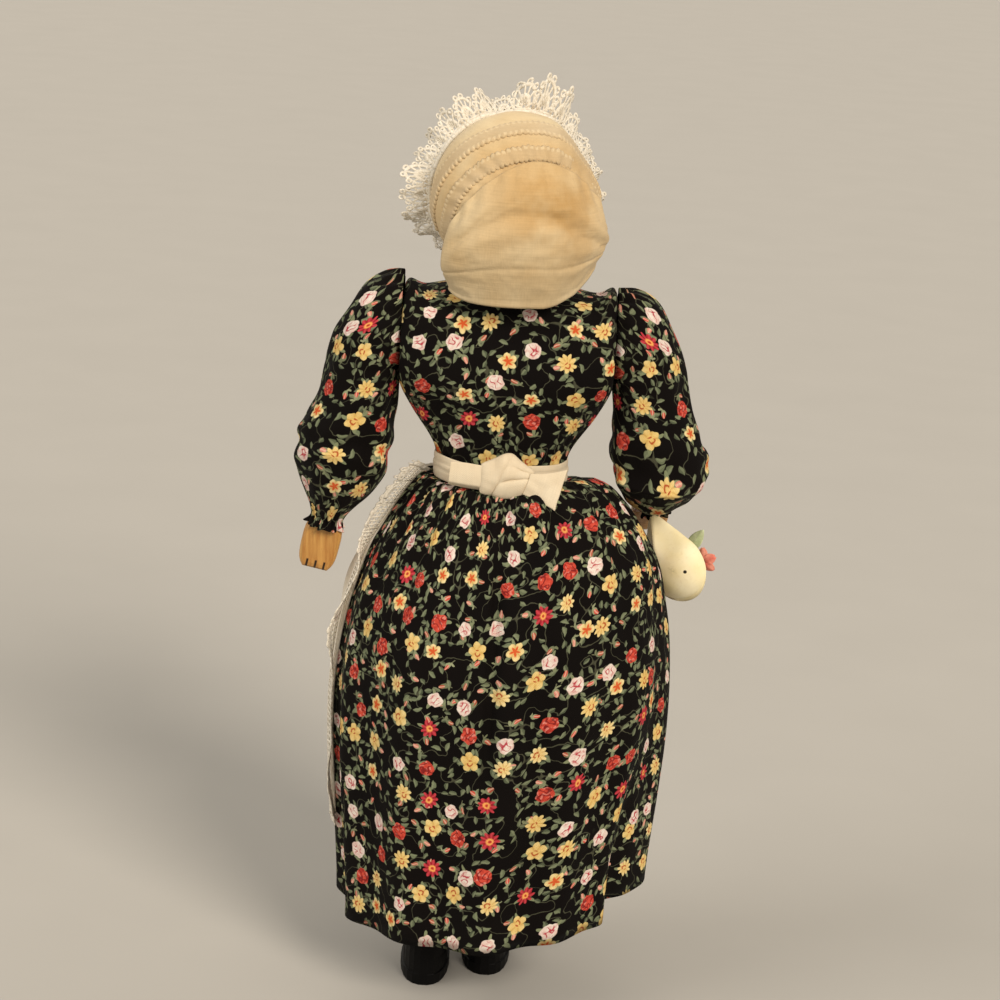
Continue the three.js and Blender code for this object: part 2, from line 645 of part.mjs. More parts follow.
// The upper sleeve: a puffed cap set flat against the armhole, hollowed over the elbow puff and cut
// back in the crook of the arm.
function upperSleeve(side) {
  const flat = CLEARANCE + 0.1;
  const top = SLEEVE_TOP_HALF_WIDTH;
  const stations = [
    [2.5, 1.5, 2, SLEEVE_CAP_RISE],
    [top * 0.24, top * 0.44, SLEEVE_TOP_HALF_DEPTH * 0.56, SLEEVE_CAP_RISE - 2.2],
    [top * 0.66, top * 0.88, SLEEVE_TOP_HALF_DEPTH * 0.96, 0],
    [lerp(top * 0.66, ELBOW_OUT, 0.5), top, SLEEVE_TOP_HALF_DEPTH, -UPPER_ARM_LENGTH * 0.45],
    [ELBOW_OUT, ELBOW_PUFF_RADIUS, ELBOW_PUFF_RADIUS, -UPPER_ARM_LENGTH],
  ];
  const rings = stationsBetween(stations.map(([, w, d, z]) => new THREE.Vector3(w, d, z)), 8);
  const centres = stationsBetween(stations.map(([c, , , z]) => new THREE.Vector3(c, 0, z)), 40);
  const nearer = (z) => (best, p) => (Math.abs(p.z - z) < Math.abs(best.z - z) ? p : best);
  const centreAt = (z) => centres.reduce(nearer(z)).x;
  const sleeve = loft(rings.map(({ x, y, z }) => ovalRing(side * centreAt(z), 0, z, x, y, 16)));
  const elbow = elbowPlace(side);
  const hollow = elbowBall(ELBOW_PLAY)
    .translate(elbow.x, elbow.y, elbow.z);
  const armholeSide = halfSpace("x", side * flat, -side);
  const relief = halfSpace("z", 0, -1)
    .rotateX(-radians(ELBOW_RELIEF))
    .translate(elbow.x, elbow.y, elbow.z + ELBOW_PUFF_RADIUS * 0.6);
  const bore = WIRE_RADIUS + CLEARANCE;
  const curve = upperArmCurve(side);
  const channel = wireAlong(curve, bore, 7);
  const mouths = [0, 1].map((end) => {
    const way = curve.getTangent(end).multiplyScalar(end ? 2 : -2);
    return rod(curve.getPoint(end).sub(way), curve.getPoint(end).add(way), bore * 1.1, 8);
  });
  return cut(sleeve, hollow, armholeSide, relief, channel, ...mouths);
}

// The forearm hangs along -Z from the elbow, before the elbow is bent.
function lowerSleeve() {
  const rings = stationsBetween([
    new THREE.Vector3(ELBOW_PUFF_RADIUS * 0.97, ELBOW_PUFF_RADIUS * 0.97, -2),
    new THREE.Vector3(ELBOW_PUFF_RADIUS * 0.86, ELBOW_PUFF_RADIUS * 0.86, -FOREARM_LENGTH * 0.42),
    new THREE.Vector3(WRIST_RADIUS * 1.7, WRIST_RADIUS * 1.7, -FOREARM_LENGTH * 0.75),
    new THREE.Vector3(WRIST_RADIUS, WRIST_RADIUS, -FOREARM_LENGTH),
  ], 5).map(({ x, y, z }) => ovalRing(0, 0, z, x, y, 16));
  return cut(join(elbowBall(0), loft(rings)), forearmWire(WIRE_RADIUS + CLEARANCE, 5));
}

function forearmWire(radius, overrun) {
  return rod(
    new THREE.Vector3(0, 0, ELBOW_PUFF_RADIUS - 1 + overrun),
    new THREE.Vector3(0, 0, -FOREARM_LENGTH - WIRE_IN_HAND - overrun), radius, 8);
}

// A carved mitten hand below the wrist, with three short cuts on each face between its fingers.
function hand() {
  const w = HAND_WIDTH / 2;
  const neck = WRIST_RADIUS * 0.8;
  const top = -FOREARM_LENGTH - CLEARANCE;
  const end = top - HAND_LENGTH;
  const outline = new THREE.Shape();
  outline.moveTo(-neck, top);
  outline.bezierCurveTo(-w, top - 2, -w, top - 4, -w, end + w);
  outline.bezierCurveTo(-w, end + 1, -w * 0.6, end, 0, end);
  outline.bezierCurveTo(w * 0.6, end, w, end + 1, w, end + w);
  outline.bezierCurveTo(w, top - 4, w, top - 2, neck, top);
  outline.closePath();
  const bevel = HAND_THICKNESS * 0.36;
  const paddle = new THREE.ExtrudeGeometry(outline, {
    depth: HAND_THICKNESS - 2 * bevel,
    bevelEnabled: true,
    bevelThickness: bevel,
    bevelSize: bevel,
    bevelOffset: -bevel,
    bevelSegments: 3,
    curveSegments: 6,
  }).rotateX(Math.PI / 2).rotateX(-Math.PI);
  paddle.computeBoundingBox();
  const { min, max } = paddle.boundingBox;
  paddle.translate(0, -(min.y + max.y) / 2, top - max.z);
  const web = HAND_THICKNESS / 2 - FINGER_CUT_DEPTH;
  const cuts = [-0.45, 0, 0.45].flatMap((place) => [[-HAND_THICKNESS, -web], [web, HAND_THICKNESS]].map(
    ([front, back]) => block(
      new THREE.Vector3(place * w - FINGER_CUT / 2, front, end - 5),
      new THREE.Vector3(place * w + FINGER_CUT / 2, back, end + FINGER_LENGTH))));
  const bore = rod(
    new THREE.Vector3(0, 0, top + 3),
    new THREE.Vector3(0, 0, -FOREARM_LENGTH - WIRE_IN_HAND - CLEARANCE), WIRE_RADIUS + CLEARANCE, 8);
  return cut(paddle, bore, ...cuts);
}

function forearmGroup(side, label, bend, splay) {
  const forearm = new THREE.Group();
  forearm.name = `${label}_forearm`;
  forearm.position.copy(elbowPlace(side));
  forearm.rotation.set(-radians(bend), -side * radians(splay), 0);
  forearm.add(piece(`${label}_lower_sleeve`, lowerSleeve(), "calico"));
  forearm.add(piece(`${label}_forearm_wire`, forearmWire(WIRE_RADIUS, 0), "wire"));
  forearm.add(piece(`${label}_hand`, hand(), "paleWood"));
  return forearm;
}

function armGroup(side, label, forearm) {
  const arm = new THREE.Group();
  arm.name = `${label}_arm`;
  arm.position.set(side * ARMHOLE_HALF_SPAN, 0, SHOULDER_HEIGHT);
  arm.add(piece(`${label}_upper_sleeve`, upperSleeve(side), "calico"));
  arm.add(piece(`${label}_upper_arm_wire`, wireAlong(upperArmCurve(side), WIRE_RADIUS, 7), "wire"));
  arm.add(forearm);
  return arm;
}

// Surface of the nut: a wrinkled oval with a raised seam over its crown and sides and a low tip.
function nutPoint(direction, grow) {
  const seam = NUT_SEAM_RIDGE * Math.exp(-((direction.y / 0.1) ** 2));
  const around = Math.atan2(direction.y, direction.x);
  const wrinkle = NUT_WRINKLE * (
    Math.sin(7 * around + 3 * Math.sin(4 * direction.z))
    + Math.sin(9 * direction.z + 2 * Math.cos(3 * around)));
  const tip = 1.5 * smooth(-direction.z, 0.9, 1);
  const off = grow + seam + wrinkle * (1 - Math.abs(direction.z)) + tip;
  return new THREE.Vector3(
    direction.x * (NUT_HALF_WIDTH + off),
    direction.y * (NUT_HALF_DEPTH + off),
    direction.z * (NUT_HALF_HEIGHT + off - NUT_SEAM_RIDGE));
}

function nut(grow) {
  const ball = ellipsoid(1, 1, 1, 28, 16);
  const place = ball.getAttribute("position");
  const direction = new THREE.Vector3();
  for (let i = 0; i < place.count; i++) {
    direction.fromBufferAttribute(place, i).normalize();
    const point = nutPoint(direction, grow);
    place.setXYZ(i, point.x, point.y, point.z);
  }
  return ball;
}

function nutBore() {
  const reach = NUT_BORE_DEPTH - NUT_HALF_HEIGHT;
  return rod(
    new THREE.Vector3(0, 0, -NUT_HALF_HEIGHT - CUT_REACH), new THREE.Vector3(0, 0, reach),
    NECK_PEG_RADIUS + CLEARANCE);
}

// A roll of wool that frames the face under the bonnet's edge, from cheek over brow to cheek.
function hairRoll() {
  const front = -CROWN_OPENING - HAIR_ROLL_RADIUS * 1.4;
  const lift = Math.sqrt(1 - (front / (NUT_HALF_DEPTH + 1)) ** 2);
  const off = HAIR_ROLL_RADIUS + 3 * CLEARANCE;
  const arc = Array.from({ length: 13 }, (_, i) => {
    const angle = radians(lerp(-20, 200, i / 12));
    return new THREE.Vector3(
      Math.cos(angle) * (NUT_HALF_WIDTH * lift + off),
      front,
      Math.sin(angle) * (NUT_HALF_HEIGHT * lift + off));
  });
  return wireAlong(new THREE.CatmullRomCurve3(arc), HAIR_ROLL_RADIUS, 16);
}

// The bonnet's crown as a filled dome, standing off its outer face by a distance.
function crownBlank(distance) {
  const dome = ellipsoid(
    CROWN_HALF_WIDTH + distance, CROWN_HALF_DEPTH + distance, CROWN_HALF_HEIGHT + distance);
  return cut(dome, halfSpace("y", -CROWN_OPENING, -1), halfSpace("z", -CROWN_SKIRT, -1));
}

function crown() {
  const inside = ellipsoid(
    CROWN_HALF_WIDTH - MUSLIN_THICKNESS, CROWN_HALF_DEPTH - MUSLIN_THICKNESS,
    CROWN_HALF_HEIGHT - MUSLIN_THICKNESS);
  return cut(crownBlank(0), inside);
}

// A tape laid over the crown from ear to ear, leaning back at the top.
function crownBand(setback) {
  const off = CLEARANCE;
  const slab = block(
    new THREE.Vector3(-CUT_REACH, setback, -CROWN_SKIRT + BAND_END_RISE),
    new THREE.Vector3(CUT_REACH, setback + BAND_WIDTH, CUT_REACH))
    .rotateX(-radians(BAND_LEAN_ANGLE));
  const tape = cut(crownBlank(off + MUSLIN_THICKNESS * 0.6), ellipsoid(
    CROWN_HALF_WIDTH + off, CROWN_HALF_DEPTH + off, CROWN_HALF_HEIGHT + off));
  return common(tape, slab);
}

// The gathered lace that stands out round the bonnet's front edge.
function bonnetLace() {
  const shrink = Math.sqrt(1 - (CROWN_OPENING / CROWN_HALF_DEPTH) ** 2);
  return sheet(BONNET_LACE_RUFFLES * 4, 1, (u, v, side) => {
    const angle = radians(lerp(-46, 226, u));
    const wave = BONNET_LACE_WAVE * v * Math.sin(u * BONNET_LACE_RUFFLES * 2 * Math.PI);
    const out = CLEARANCE + v * BONNET_LACE_WIDTH;
    return new THREE.Vector3(
      Math.cos(angle) * (CROWN_HALF_WIDTH * shrink + out),
      -CROWN_OPENING - 2 * v + wave - side * LACE_THICKNESS,
      Math.sin(angle) * (CROWN_HALF_HEIGHT * shrink + out));
  });
}

// The loose cloth that hangs from the back tape over the nape, bellied and tucked in at its foot.
function curtain() {
  return sheet(18, 7, (u, v, side) => {
    const turn = u * 2 - 1;
    const angle = radians(90 + turn * CURTAIN_HALF_ANGLE * lerp(1, 0.86, v));
    const top = CURTAIN_RISE - CURTAIN_ARCH * turn * turn;
    const slant = CURTAIN_SLANT * smooth(turn, 0.1, 1.1);
    const foot = -CURTAIN_DROP + CURTAIN_ROUNDING * turn ** 4 + slant;
    const z = lerp(top, foot, v);
    const rise = Math.max(z, 0) / CROWN_HALF_HEIGHT;
    const shrink = Math.sqrt(1 - rise * rise);
    const belly = CURTAIN_BELLY * Math.sin(v * Math.PI) - CURTAIN_TUCK * smooth(v, 0.55, 1);
    const off = 2 * CLEARANCE + MUSLIN_THICKNESS * (0.6 + side) + belly;
    return new THREE.Vector3(
      Math.cos(angle) * (CROWN_HALF_WIDTH * shrink + off),
      Math.sin(angle) * (CROWN_HALF_DEPTH * shrink + off), z);
  });
}

function headGroup() {
  const head = new THREE.Group();
  head.name = "head";
  head.position.set(0, 0, HEAD_HEIGHT);
  head.rotation.z = radians(HEAD_TURN);
  head.add(piece("walnut_head", cut(nut(0), nutBore()), "nutShell"));
  head.add(piece("hair_roll", hairRoll(), "wool"));
  head.add(piece("bonnet_crown", crown(), "muslin"));
  head.add(piece("bonnet_front_band", crownBand(FRONT_BAND_SETBACK), "muslin"));
  head.add(piece("bonnet_back_band", crownBand(BACK_BAND_SETBACK), "muslin"));
  head.add(piece("bonnet_lace", bonnetLace(), "lace"));
  head.add(piece("bonnet_curtain", curtain(), "muslin"));
  return head;
}

// How far the basket's outline is drawn out of the round towards its pointed end.
function basketStretch(angle) {
  const turn = THREE.MathUtils.euclideanModulo(angle - radians(BASKET_TIP_ANGLE), 2 * Math.PI);
  const away = Math.min(turn, 2 * Math.PI - turn);
  const flank = Math.acos(BASKET_RADIUS / BASKET_TIP);
  return 1 / Math.cos(Math.max(flank - away, 0));
}

// The basket's bowl as a filled form, inside its outer face by a distance.
function basketBowl(inset) {
  const radius = BASKET_RADIUS - inset;
  const bowl = ellipsoid(radius, radius, BASKET_DEPTH - inset, 32, 12);
  const place = bowl.getAttribute("position");
  for (let i = 0; i < place.count; i++) {
    const stretch = basketStretch(Math.atan2(place.getY(i), place.getX(i)));
    place.setXY(i, place.getX(i) * stretch, place.getY(i) * stretch);
  }
  return bowl;
}

// The basket's pointed shell lies on its back in its own frame: mouth towards +Z, rim at z = 0.
function basketShell() {
  return cut(basketBowl(0), basketBowl(BASKET_WALL), halfSpace("z", 0, 1));
}

// A flower: round petals about a domed heart.
function flower() {
  const outline = new THREE.Shape();
  const steps = FLOWER_PETALS * 6;
  for (let i = 0; i < steps; i++) {
    const angle = (i / steps) * 2 * Math.PI;
    const radius = FLOWER_RADIUS * (0.68 + 0.32 * Math.abs(Math.sin(angle * FLOWER_PETALS / 2)));
    outline[i ? "lineTo" : "moveTo"](radius * Math.cos(angle), radius * Math.sin(angle));
  }
  outline.closePath();
  const petals = new THREE.ExtrudeGeometry(outline, { depth: FLOWER_THICKNESS, bevelEnabled: false });
  const heart = ellipsoid(FLOWER_RADIUS * 0.34, FLOWER_RADIUS * 0.34, FLOWER_THICKNESS * 0.6, 10, 6)
    .translate(0, 0, FLOWER_THICKNESS);
  return join(petals, heart);
}

function leaf() {
  const outline = new THREE.Shape();
  outline.moveTo(0, 0);
  outline.quadraticCurveTo(LEAF_WIDTH, LEAF_LENGTH * 0.45, 0, LEAF_LENGTH);
  outline.quadraticCurveTo(-LEAF_WIDTH, LEAF_LENGTH * 0.45, 0, 0);
  return new THREE.ExtrudeGeometry(outline, { depth: 0.6, bevelEnabled: false, curveSegments: 6 });
}

// The moss pad fills the bowl to just over the rim, but for the corner where the hand lies.
function mossPad() {
  const filled = basketBowl(BASKET_WALL + CLEARANCE);
  const handCorner = block(
    new THREE.Vector3(HAND_CORNER, -CUT_REACH, -CUT_REACH),
    new THREE.Vector3(CUT_REACH, CUT_REACH, CUT_REACH)).rotateZ(radians(BASKET_TIP_ANGLE));
  return cut(filled, halfSpace("z", MOSS_RISE, 1), handCorner);
}

function basketGroup() {
  const basket = new THREE.Group();
  basket.name = "basket";
  basket.position.set(-BASKET_OUT, BASKET_BEHIND_HAND, -FOREARM_LENGTH - BASKET_BELOW_WRIST);
  basket.rotation.set(radians(BASKET_UPRIGHT), 0, 0);
  basket.rotateZ(-radians(BASKET_TURN)).rotateX(Math.PI / 2);
  basket.add(piece("basket_shell", basketShell(), "basketShell"));
  basket.add(piece("basket_moss", mossPad(), "moss"));
  const placed = [
    ["basket_flower_red", flower(), "redPetal", -7.6, 3, 0],
    ["basket_flower_pink", flower(), "pinkPetal", -3.4, -3.2, 20],
    ["basket_flower_yellow", flower(), "yellowPetal", 3.4, -4.6, 40],
    ["basket_leaf_upper", leaf(), "leafGreen", -2.3, 4.2, 28],
    ["basket_leaf_lower", leaf(), "leafGreen", 0.2, 1.1, -88],
  ];
  for (const [name, geometry, finish, x, y, turn] of placed) {
    const mesh = piece(name, geometry, finish);
    mesh.position.set(x, y, MOSS_RISE + CLEARANCE);
    mesh.rotation.z = radians(turn);
    basket.add(mesh);
  }
  return basket;
}

function legs() {
  return [["left", 1], ["right", -1]].flatMap(([label, side]) => [
    piece(`${label}_leg`, legRod(side, LEG_RADIUS, 0), "blackPaint"),
    piece(`${label}_shoe`, shoe(side), "blackPaint"),
  ]);
}

const doll = new THREE.Group();
doll.name = "walnut_head_doll";
doll.add(
  piece("torso_core", torsoCore(), "stuffing"),
  piece("neck_peg", boredPeg(), "paleWood"),
  piece("shoulder_wire", shoulderWire(WIRE_RADIUS), "wire"),
  piece("dress_bodice", bodice(), "calico"),
  piece("dress_collar", collar(), "calico"),
  piece("dress_skirt", skirt(), "calico"),
  piece("apron_panel", apronPanel(), "apronCotton"),
  piece("apron_lace", apronLace(), "lace"),
  piece("sash_band", sashBand(), "muslin"),
  piece("sash_knot", knot(), "muslin"),
  piece("sash_tail_left", sashTail(1), "muslin"),
  piece("sash_tail_right", sashTail(-1), "muslin"),
  ...legs(),
  headGroup(),
);
const leftForearm = forearmGroup(1, "left", LEFT_ELBOW_BEND, LEFT_FOREARM_SPLAY);
const rightForearm = forearmGroup(-1, "right", RIGHT_ELBOW_BEND, RIGHT_FOREARM_SPLAY);
rightForearm.add(basketGroup());
doll.add(armGroup(1, "left", leftForearm), armGroup(-1, "right", rightForearm));

// The origin is the middle of the doll's box, on the floor under its soles.
const middle = new THREE.Box3().setFromObject(doll, true).getCenter(new THREE.Vector3());
doll.position.set(-middle.x, -middle.y, 0);
const group = new THREE.Group();
group.add(doll);
export default group;
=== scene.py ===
"""The looks of a walnut-head doll in calico, apron and bonnet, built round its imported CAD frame.

Sizes in the classes are millimetres from the doll's own upright axis: +Z is up, -Y is the way the
doll faces and +X is its left side. Finished pieces are in metres, in the frame of the CAD model.
"""

import json
import logging
from collections.abc import Callable, Sequence
from dataclasses import dataclass
from enum import Enum
from math import acos, atan2, copysign, cos, exp, hypot, pi, radians, sin, sqrt
from typing import Any

import bmesh
import bpy
from mathutils import Matrix, Vector, noise


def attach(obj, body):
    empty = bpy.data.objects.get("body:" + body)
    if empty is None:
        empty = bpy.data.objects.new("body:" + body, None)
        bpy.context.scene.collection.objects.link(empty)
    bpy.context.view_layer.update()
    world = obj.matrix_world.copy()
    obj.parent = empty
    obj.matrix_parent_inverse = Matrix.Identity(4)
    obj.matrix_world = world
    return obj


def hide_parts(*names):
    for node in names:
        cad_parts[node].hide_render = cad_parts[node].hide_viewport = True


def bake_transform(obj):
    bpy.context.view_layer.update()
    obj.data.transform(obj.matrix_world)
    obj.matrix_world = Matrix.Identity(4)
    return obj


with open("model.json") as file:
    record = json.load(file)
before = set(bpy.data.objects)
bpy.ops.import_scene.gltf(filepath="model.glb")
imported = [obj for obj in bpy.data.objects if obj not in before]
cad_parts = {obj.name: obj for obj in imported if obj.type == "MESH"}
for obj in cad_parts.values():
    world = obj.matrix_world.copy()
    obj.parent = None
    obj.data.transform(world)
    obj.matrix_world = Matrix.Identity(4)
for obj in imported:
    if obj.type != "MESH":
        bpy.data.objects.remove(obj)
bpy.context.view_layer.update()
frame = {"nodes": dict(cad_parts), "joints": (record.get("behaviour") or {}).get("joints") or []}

MM = 0.001
JOIN_WITHIN = 1e-4
DRESS_CLOTH = 0.3
TURN = 2 * pi
JOINTS = {joint["name"]: Vector(joint["pos_m"]) / MM for joint in frame["joints"]}
AXIS = Vector((JOINTS["head_turn"].x, JOINTS["head_turn"].y, 0.0))
IN_ROW = Matrix.Scale(MM, 4) @ Matrix.Translation(AXIS)
Place = Callable[[float, float], Vector]
Measure = Callable[[float, float], tuple[float, float]]
Piece = bpy.types.Object
Material = bpy.types.Material
Mesh = bmesh.types.BMesh

log = logging.getLogger("doll")


class Body(Enum):
    """The moving bodies of the CAD model that whole pieces ride on."""

    TORSO = "torso"
    HEAD = "head"
    RIGHT_FOREARM = "right_forearm"


class Slot(Enum):
    """The material slots of the record, which the finishes hold."""

    STUFFING = "stuffing"
    CALICO = "calico"
    APRON = "apron_cotton"
    MUSLIN = "muslin"
    LACE = "lace"
    NUT = "nut_shell"
    WOOL = "wool"
    SHELL = "basket_shell"
    MOSS = "moss"
    RED = "red_petal"
    PINK = "pink_petal"
    YELLOW = "yellow_petal"
    LEAF = "leaf_green"


class Held(Enum):
    """The ways in which a sheet of cloth is held."""

    GATHERED = "gathered"
    STRETCHED = "stretched"
    FOLDED = "folded"
    HUNG = "hung"


def lerp(low: float, high: float, share: float) -> float:
    """Returns the value at a share of the way from low to high."""
    return low + (high - low) * share


def ramp(value: float, low: float, high: float) -> float:
    """Returns a smooth step from 0 at low to 1 at high."""
    share = min(max((value - low) / (high - low), 0.0), 1.0)
    return share * share * (3 - 2 * share)


def bell(value: float, middle: float, width: float) -> float:
    """Returns a bump of height 1 at the middle that dies out over a width."""
    return exp(-(((value - middle) / width) ** 2))


def rough(x: float, y: float, z: float = 0.0) -> float:
    """Returns smooth noise between -1 and 1 at a point."""
    return noise.noise(Vector((x, y, z)))


def rough_round(angle: float, scale: float, z: float) -> float:
    """Returns smooth noise on a ring, which meets itself after a turn."""
    return rough(scale * cos(angle), scale * sin(angle), z)


def polar(angle: float, across: float, deep: float, z: float) -> Vector:
    """Returns the point of an oval ring towards an angle, at a height."""
    return Vector((across * cos(angle), deep * sin(angle), z))


def along(stations: Sequence[tuple[float, ...]], share: float) -> tuple[float, ...]:
    """Follows a smooth line through stations.

    Args:
        stations: Rows of numbers that the line passes through.
        share: Place on the line, from 0 at the first station to 1 at the last.

    Returns:
        The row of numbers at that place.
    """
    spot = min(max(share, 0.0), 1.0) * (len(stations) - 1)
    i = min(int(spot), len(stations) - 2)
    t = spot - i
    before, here = stations[max(i - 1, 0)], stations[i]
    there, after = stations[i + 1], stations[min(i + 2, len(stations) - 1)]
    found = []
    for p0, p1, p2, p3 in zip(before, here, there, after):
        bend = 2 * p0 - 5 * p1 + 4 * p2 - p3
        found.append(p1 + 0.5 * t * (p2 - p0 + t * (bend + t * (3 * (p1 - p2) + p3 - p0))))
    return tuple(found)


# Shaders


def paint(code: str) -> tuple[float, float, float, float]:
    """Returns the linear colour of a six-digit screen colour code."""
    shares = [int(code[i : i + 2], 16) / 255 for i in (0, 2, 4)]
    linear = [c / 12.92 if c <= 0.04045 else ((c + 0.055) / 1.055) ** 2.4 for c in shares]
    return (linear[0], linear[1], linear[2], 1.0)


class Sock:
    """A shader value, so that sums of values read as Python sums."""

    def __init__(self, shader: "Shader", socket: bpy.types.NodeSocket) -> None:
        """Keeps the shader and the socket that the value comes from."""
        self.shader = shader
        self.socket = socket

    def __add__(self, other: "Sock | float") -> "Sock":
        """Returns the sum of two values."""
        return self.shader.math("ADD", self, other)

    def __sub__(self, other: "Sock | float") -> "Sock":
        """Returns the difference of two values."""
        return self.shader.math("SUBTRACT", self, other)

    def __rsub__(self, other: float) -> "Sock":
        """Returns a number less a value."""
        return self.shader.math("SUBTRACT", other, self)

    def __mul__(self, other: "Sock | float") -> "Sock":
        """Returns the product of two values."""
        return self.shader.math("MULTIPLY", self, other)

    def __truediv__(self, other: "Sock | float") -> "Sock":
        """Returns the ratio of two values."""
        return self.shader.math("DIVIDE", self, other)

    def __pow__(self, power: float) -> "Sock":
        """Returns a power of the value."""
        return self.shader.math("POWER", self, power)

    def __abs__(self) -> "Sock":
        """Returns the size of the value."""
        return self.shader.math("ABSOLUTE", self)

    __radd__ = __add__
    __rmul__ = __mul__

    def sine(self) -> "Sock":
        """Returns the sine of the value in radians."""
        return self.shader.math("SINE", self)

    def cosine(self) -> "Sock":
        """Returns the cosine of the value in radians."""
        return self.shader.math("COSINE", self)

    def top(self, other: "Sock | float") -> "Sock":
        """Returns the larger of two values."""
        return self.shader.math("MAXIMUM", self, other)

    def clamped(self) -> "Sock":
        """Returns the value held between 0 and 1."""
        return self.shader.math("MINIMUM", self.shader.math("MAXIMUM", self, 0.0), 1.0)

    def inked(self, soft: float = 0.12) -> "Sock":
        """Returns a mask that is 1 where the value is above 0, with a soft edge."""
        return (self / soft + 0.5).clamped()

    def between(self, low: float, high: float) -> "Sock":
        """Returns a mask that is 1 where the value lies from low up to high."""
        above = self.shader.math("GREATER_THAN", self, low)
        return above * (1 - self.shader.math("GREATER_THAN", self, high))

    def rise(self, low: float, high: float) -> "Sock":
        """Returns a straight ramp from 0 at low to 1 at high."""
        return ((self - low) / (high - low)).clamped()


class Outputs:
    """The output sockets of one node."""

    def __init__(self, shader: "Shader", node: bpy.types.Node) -> None:
        """Keeps the shader and its node."""
        self.shader = shader
        self.made = node

    def __getitem__(self, key: int | str) -> Sock:
        """Returns one output by its place or its name."""
        return Sock(self.shader, self.made.outputs[key])


class Shader:
    """A material's node tree, written as expressions."""

    def __init__(self, name: str) -> None:
        """Starts an empty material."""
        self.material = bpy.data.materials.new(name)
        self.material.use_nodes = True
        self.tree = self.material.node_tree
        self.tree.nodes.clear()

    def node(self, kind: str, settings: dict[str, Any], links: dict[int | str, Any]) -> Outputs:
        """Adds a node.

        Args:
            kind: The node's type.
            settings: Its settings, which are set first.
            links: Values or links of its sockets, by place or name.

        Returns:
            The node's outputs.
        """
        made = self.tree.nodes.new(kind)
        for key, value in settings.items():
            setattr(made, key, value)
        for key, value in links.items():
            if isinstance(value, Sock):
                self.tree.links.new(value.socket, made.inputs[key])
            else:
                made.inputs[key].default_value = value
        return Outputs(self, made)

    def math(self, operation: str, *values: Sock | float) -> Sock:
        """Returns what one Math node makes of some values."""
        return self.node("ShaderNodeMath", {"operation": operation}, dict(enumerate(values)))[0]

    def vector(self, operation: str, *values: Any) -> Sock:
        """Returns a vector made by one Vector Math node."""
        return self.node("ShaderNodeVectorMath", {"operation": operation}, dict(enumerate(values)))[0]

    def scaled(self, vector: Sock, scale: float) -> Sock:
        """Returns a vector times a number."""
        return self.node("ShaderNodeVectorMath", {"operation": "SCALE"}, {0: vector, "Scale": scale})[0]

    def parts(self, vector: Sock) -> tuple[Sock, Sock, Sock]:
        """Returns the three parts of a vector."""
        split = self.node("ShaderNodeSeparateXYZ", {}, {0: vector})
        return split[0], split[1], split[2]

    def mix(self, factor: Sock | float, first: Sock | str, second: Sock | str) -> Sock:
        """Returns a colour between two colours, each a shader value or a colour code."""
        ends = [paint(end) if isinstance(end, str) else end for end in (first, second)]
        settings = {"data_type": "RGBA", "clamp_factor": True}
        return self.node("ShaderNodeMix", settings, {0: factor, 6: ends[0], 7: ends[1]})[2]

    def tinted(self, colour: Any, shade: Sock) -> Sock:
        """Returns a colour darkened or lightened by a value about 1."""
        grey = self.node("ShaderNodeCombineXYZ", {}, {0: shade, 1: shade, 2: shade})[0]
        return self.vector("MULTIPLY", colour, grey)

    def noise(self, where: Sock, scale: float, detail: float = 2.0) -> Sock:
        """Returns smooth noise between 0 and 1."""
        return self.node("ShaderNodeTexNoise", {}, {"Vector": where, "Scale": scale, "Detail": detail})[0]

    def streaks(self, where: Sock, squeeze: tuple[float, float, float], detail: float) -> Sock:
        """Returns noise drawn out along the axes where the squeeze is small."""
        return self.noise(self.vector("MULTIPLY", where, squeeze), 1.0, detail)

    def weave(self, x: Sock, y: Sock, thread: float) -> Sock:
        """Returns the rise and fall of threads that cross at a pitch."""
        return (x * (TURN / thread)).sine() * (y * (TURN / thread)).sine()

    def distance(self, where: Sock, mark: tuple[float, float, float]) -> Sock:
        """Returns the distance from a mark, whose place is given from the doll's axis."""
        links = {0: where, 1: tuple(AXIS + Vector(mark))}
        return self.node("ShaderNodeVectorMath", {"operation": "DISTANCE"}, links)["Value"]

    def turned(self, where: Sock, axis: str, degrees: float) -> Sock:
        """Returns a place turned about one axis."""
        links = {"Vector": where, "Angle": radians(degrees)}
        return self.node("ShaderNodeVectorRotate", {"rotation_type": axis}, links)[0]

    def place(self) -> Sock:
        """Returns the object's own coordinates in millimetres."""
        return self.scaled(self.node("ShaderNodeTexCoord", {}, {})["Object"], 1 / MM)

    def flat(self) -> Sock:
        """Returns the place on the flat cloth in millimetres."""
        return self.scaled(self.node("ShaderNodeUVMap", {"uv_map": "cloth"}, {})["UV"], 1 / MM)

    def surface(
        self, base: Any, roughness: Any, height: Sock | None = None, bump: float = 0.2,
        depth: float = 0.2, **fixed: float,
    ) -> Material:
        """Ends the material in one Principled shader.

        Args:
            base: Base colour.
            roughness: Roughness.
            height: Height of the surface's relief, or None.
            bump: Strength of the relief.
            depth: Depth of the relief in millimetres.
            **fixed: Other sockets with one value all over, with _ for a space.

        Returns:
            The finished material.
        """
        links = {"Base Color": base, "Roughness": roughness}
        links |= {key.replace("_", " "): value for key, value in fixed.items()}
        if height is not None:
            relief = {"Strength": bump, "Distance": depth * MM, "Height": height}
            links["Normal"] = self.node("ShaderNodeBump", {}, relief)[0]
        shader = self.node("ShaderNodeBsdfPrincipled", {}, links)
        self.node("ShaderNodeOutputMaterial", {}, {"Surface": shader[0]})
        return self.material


# Finishes


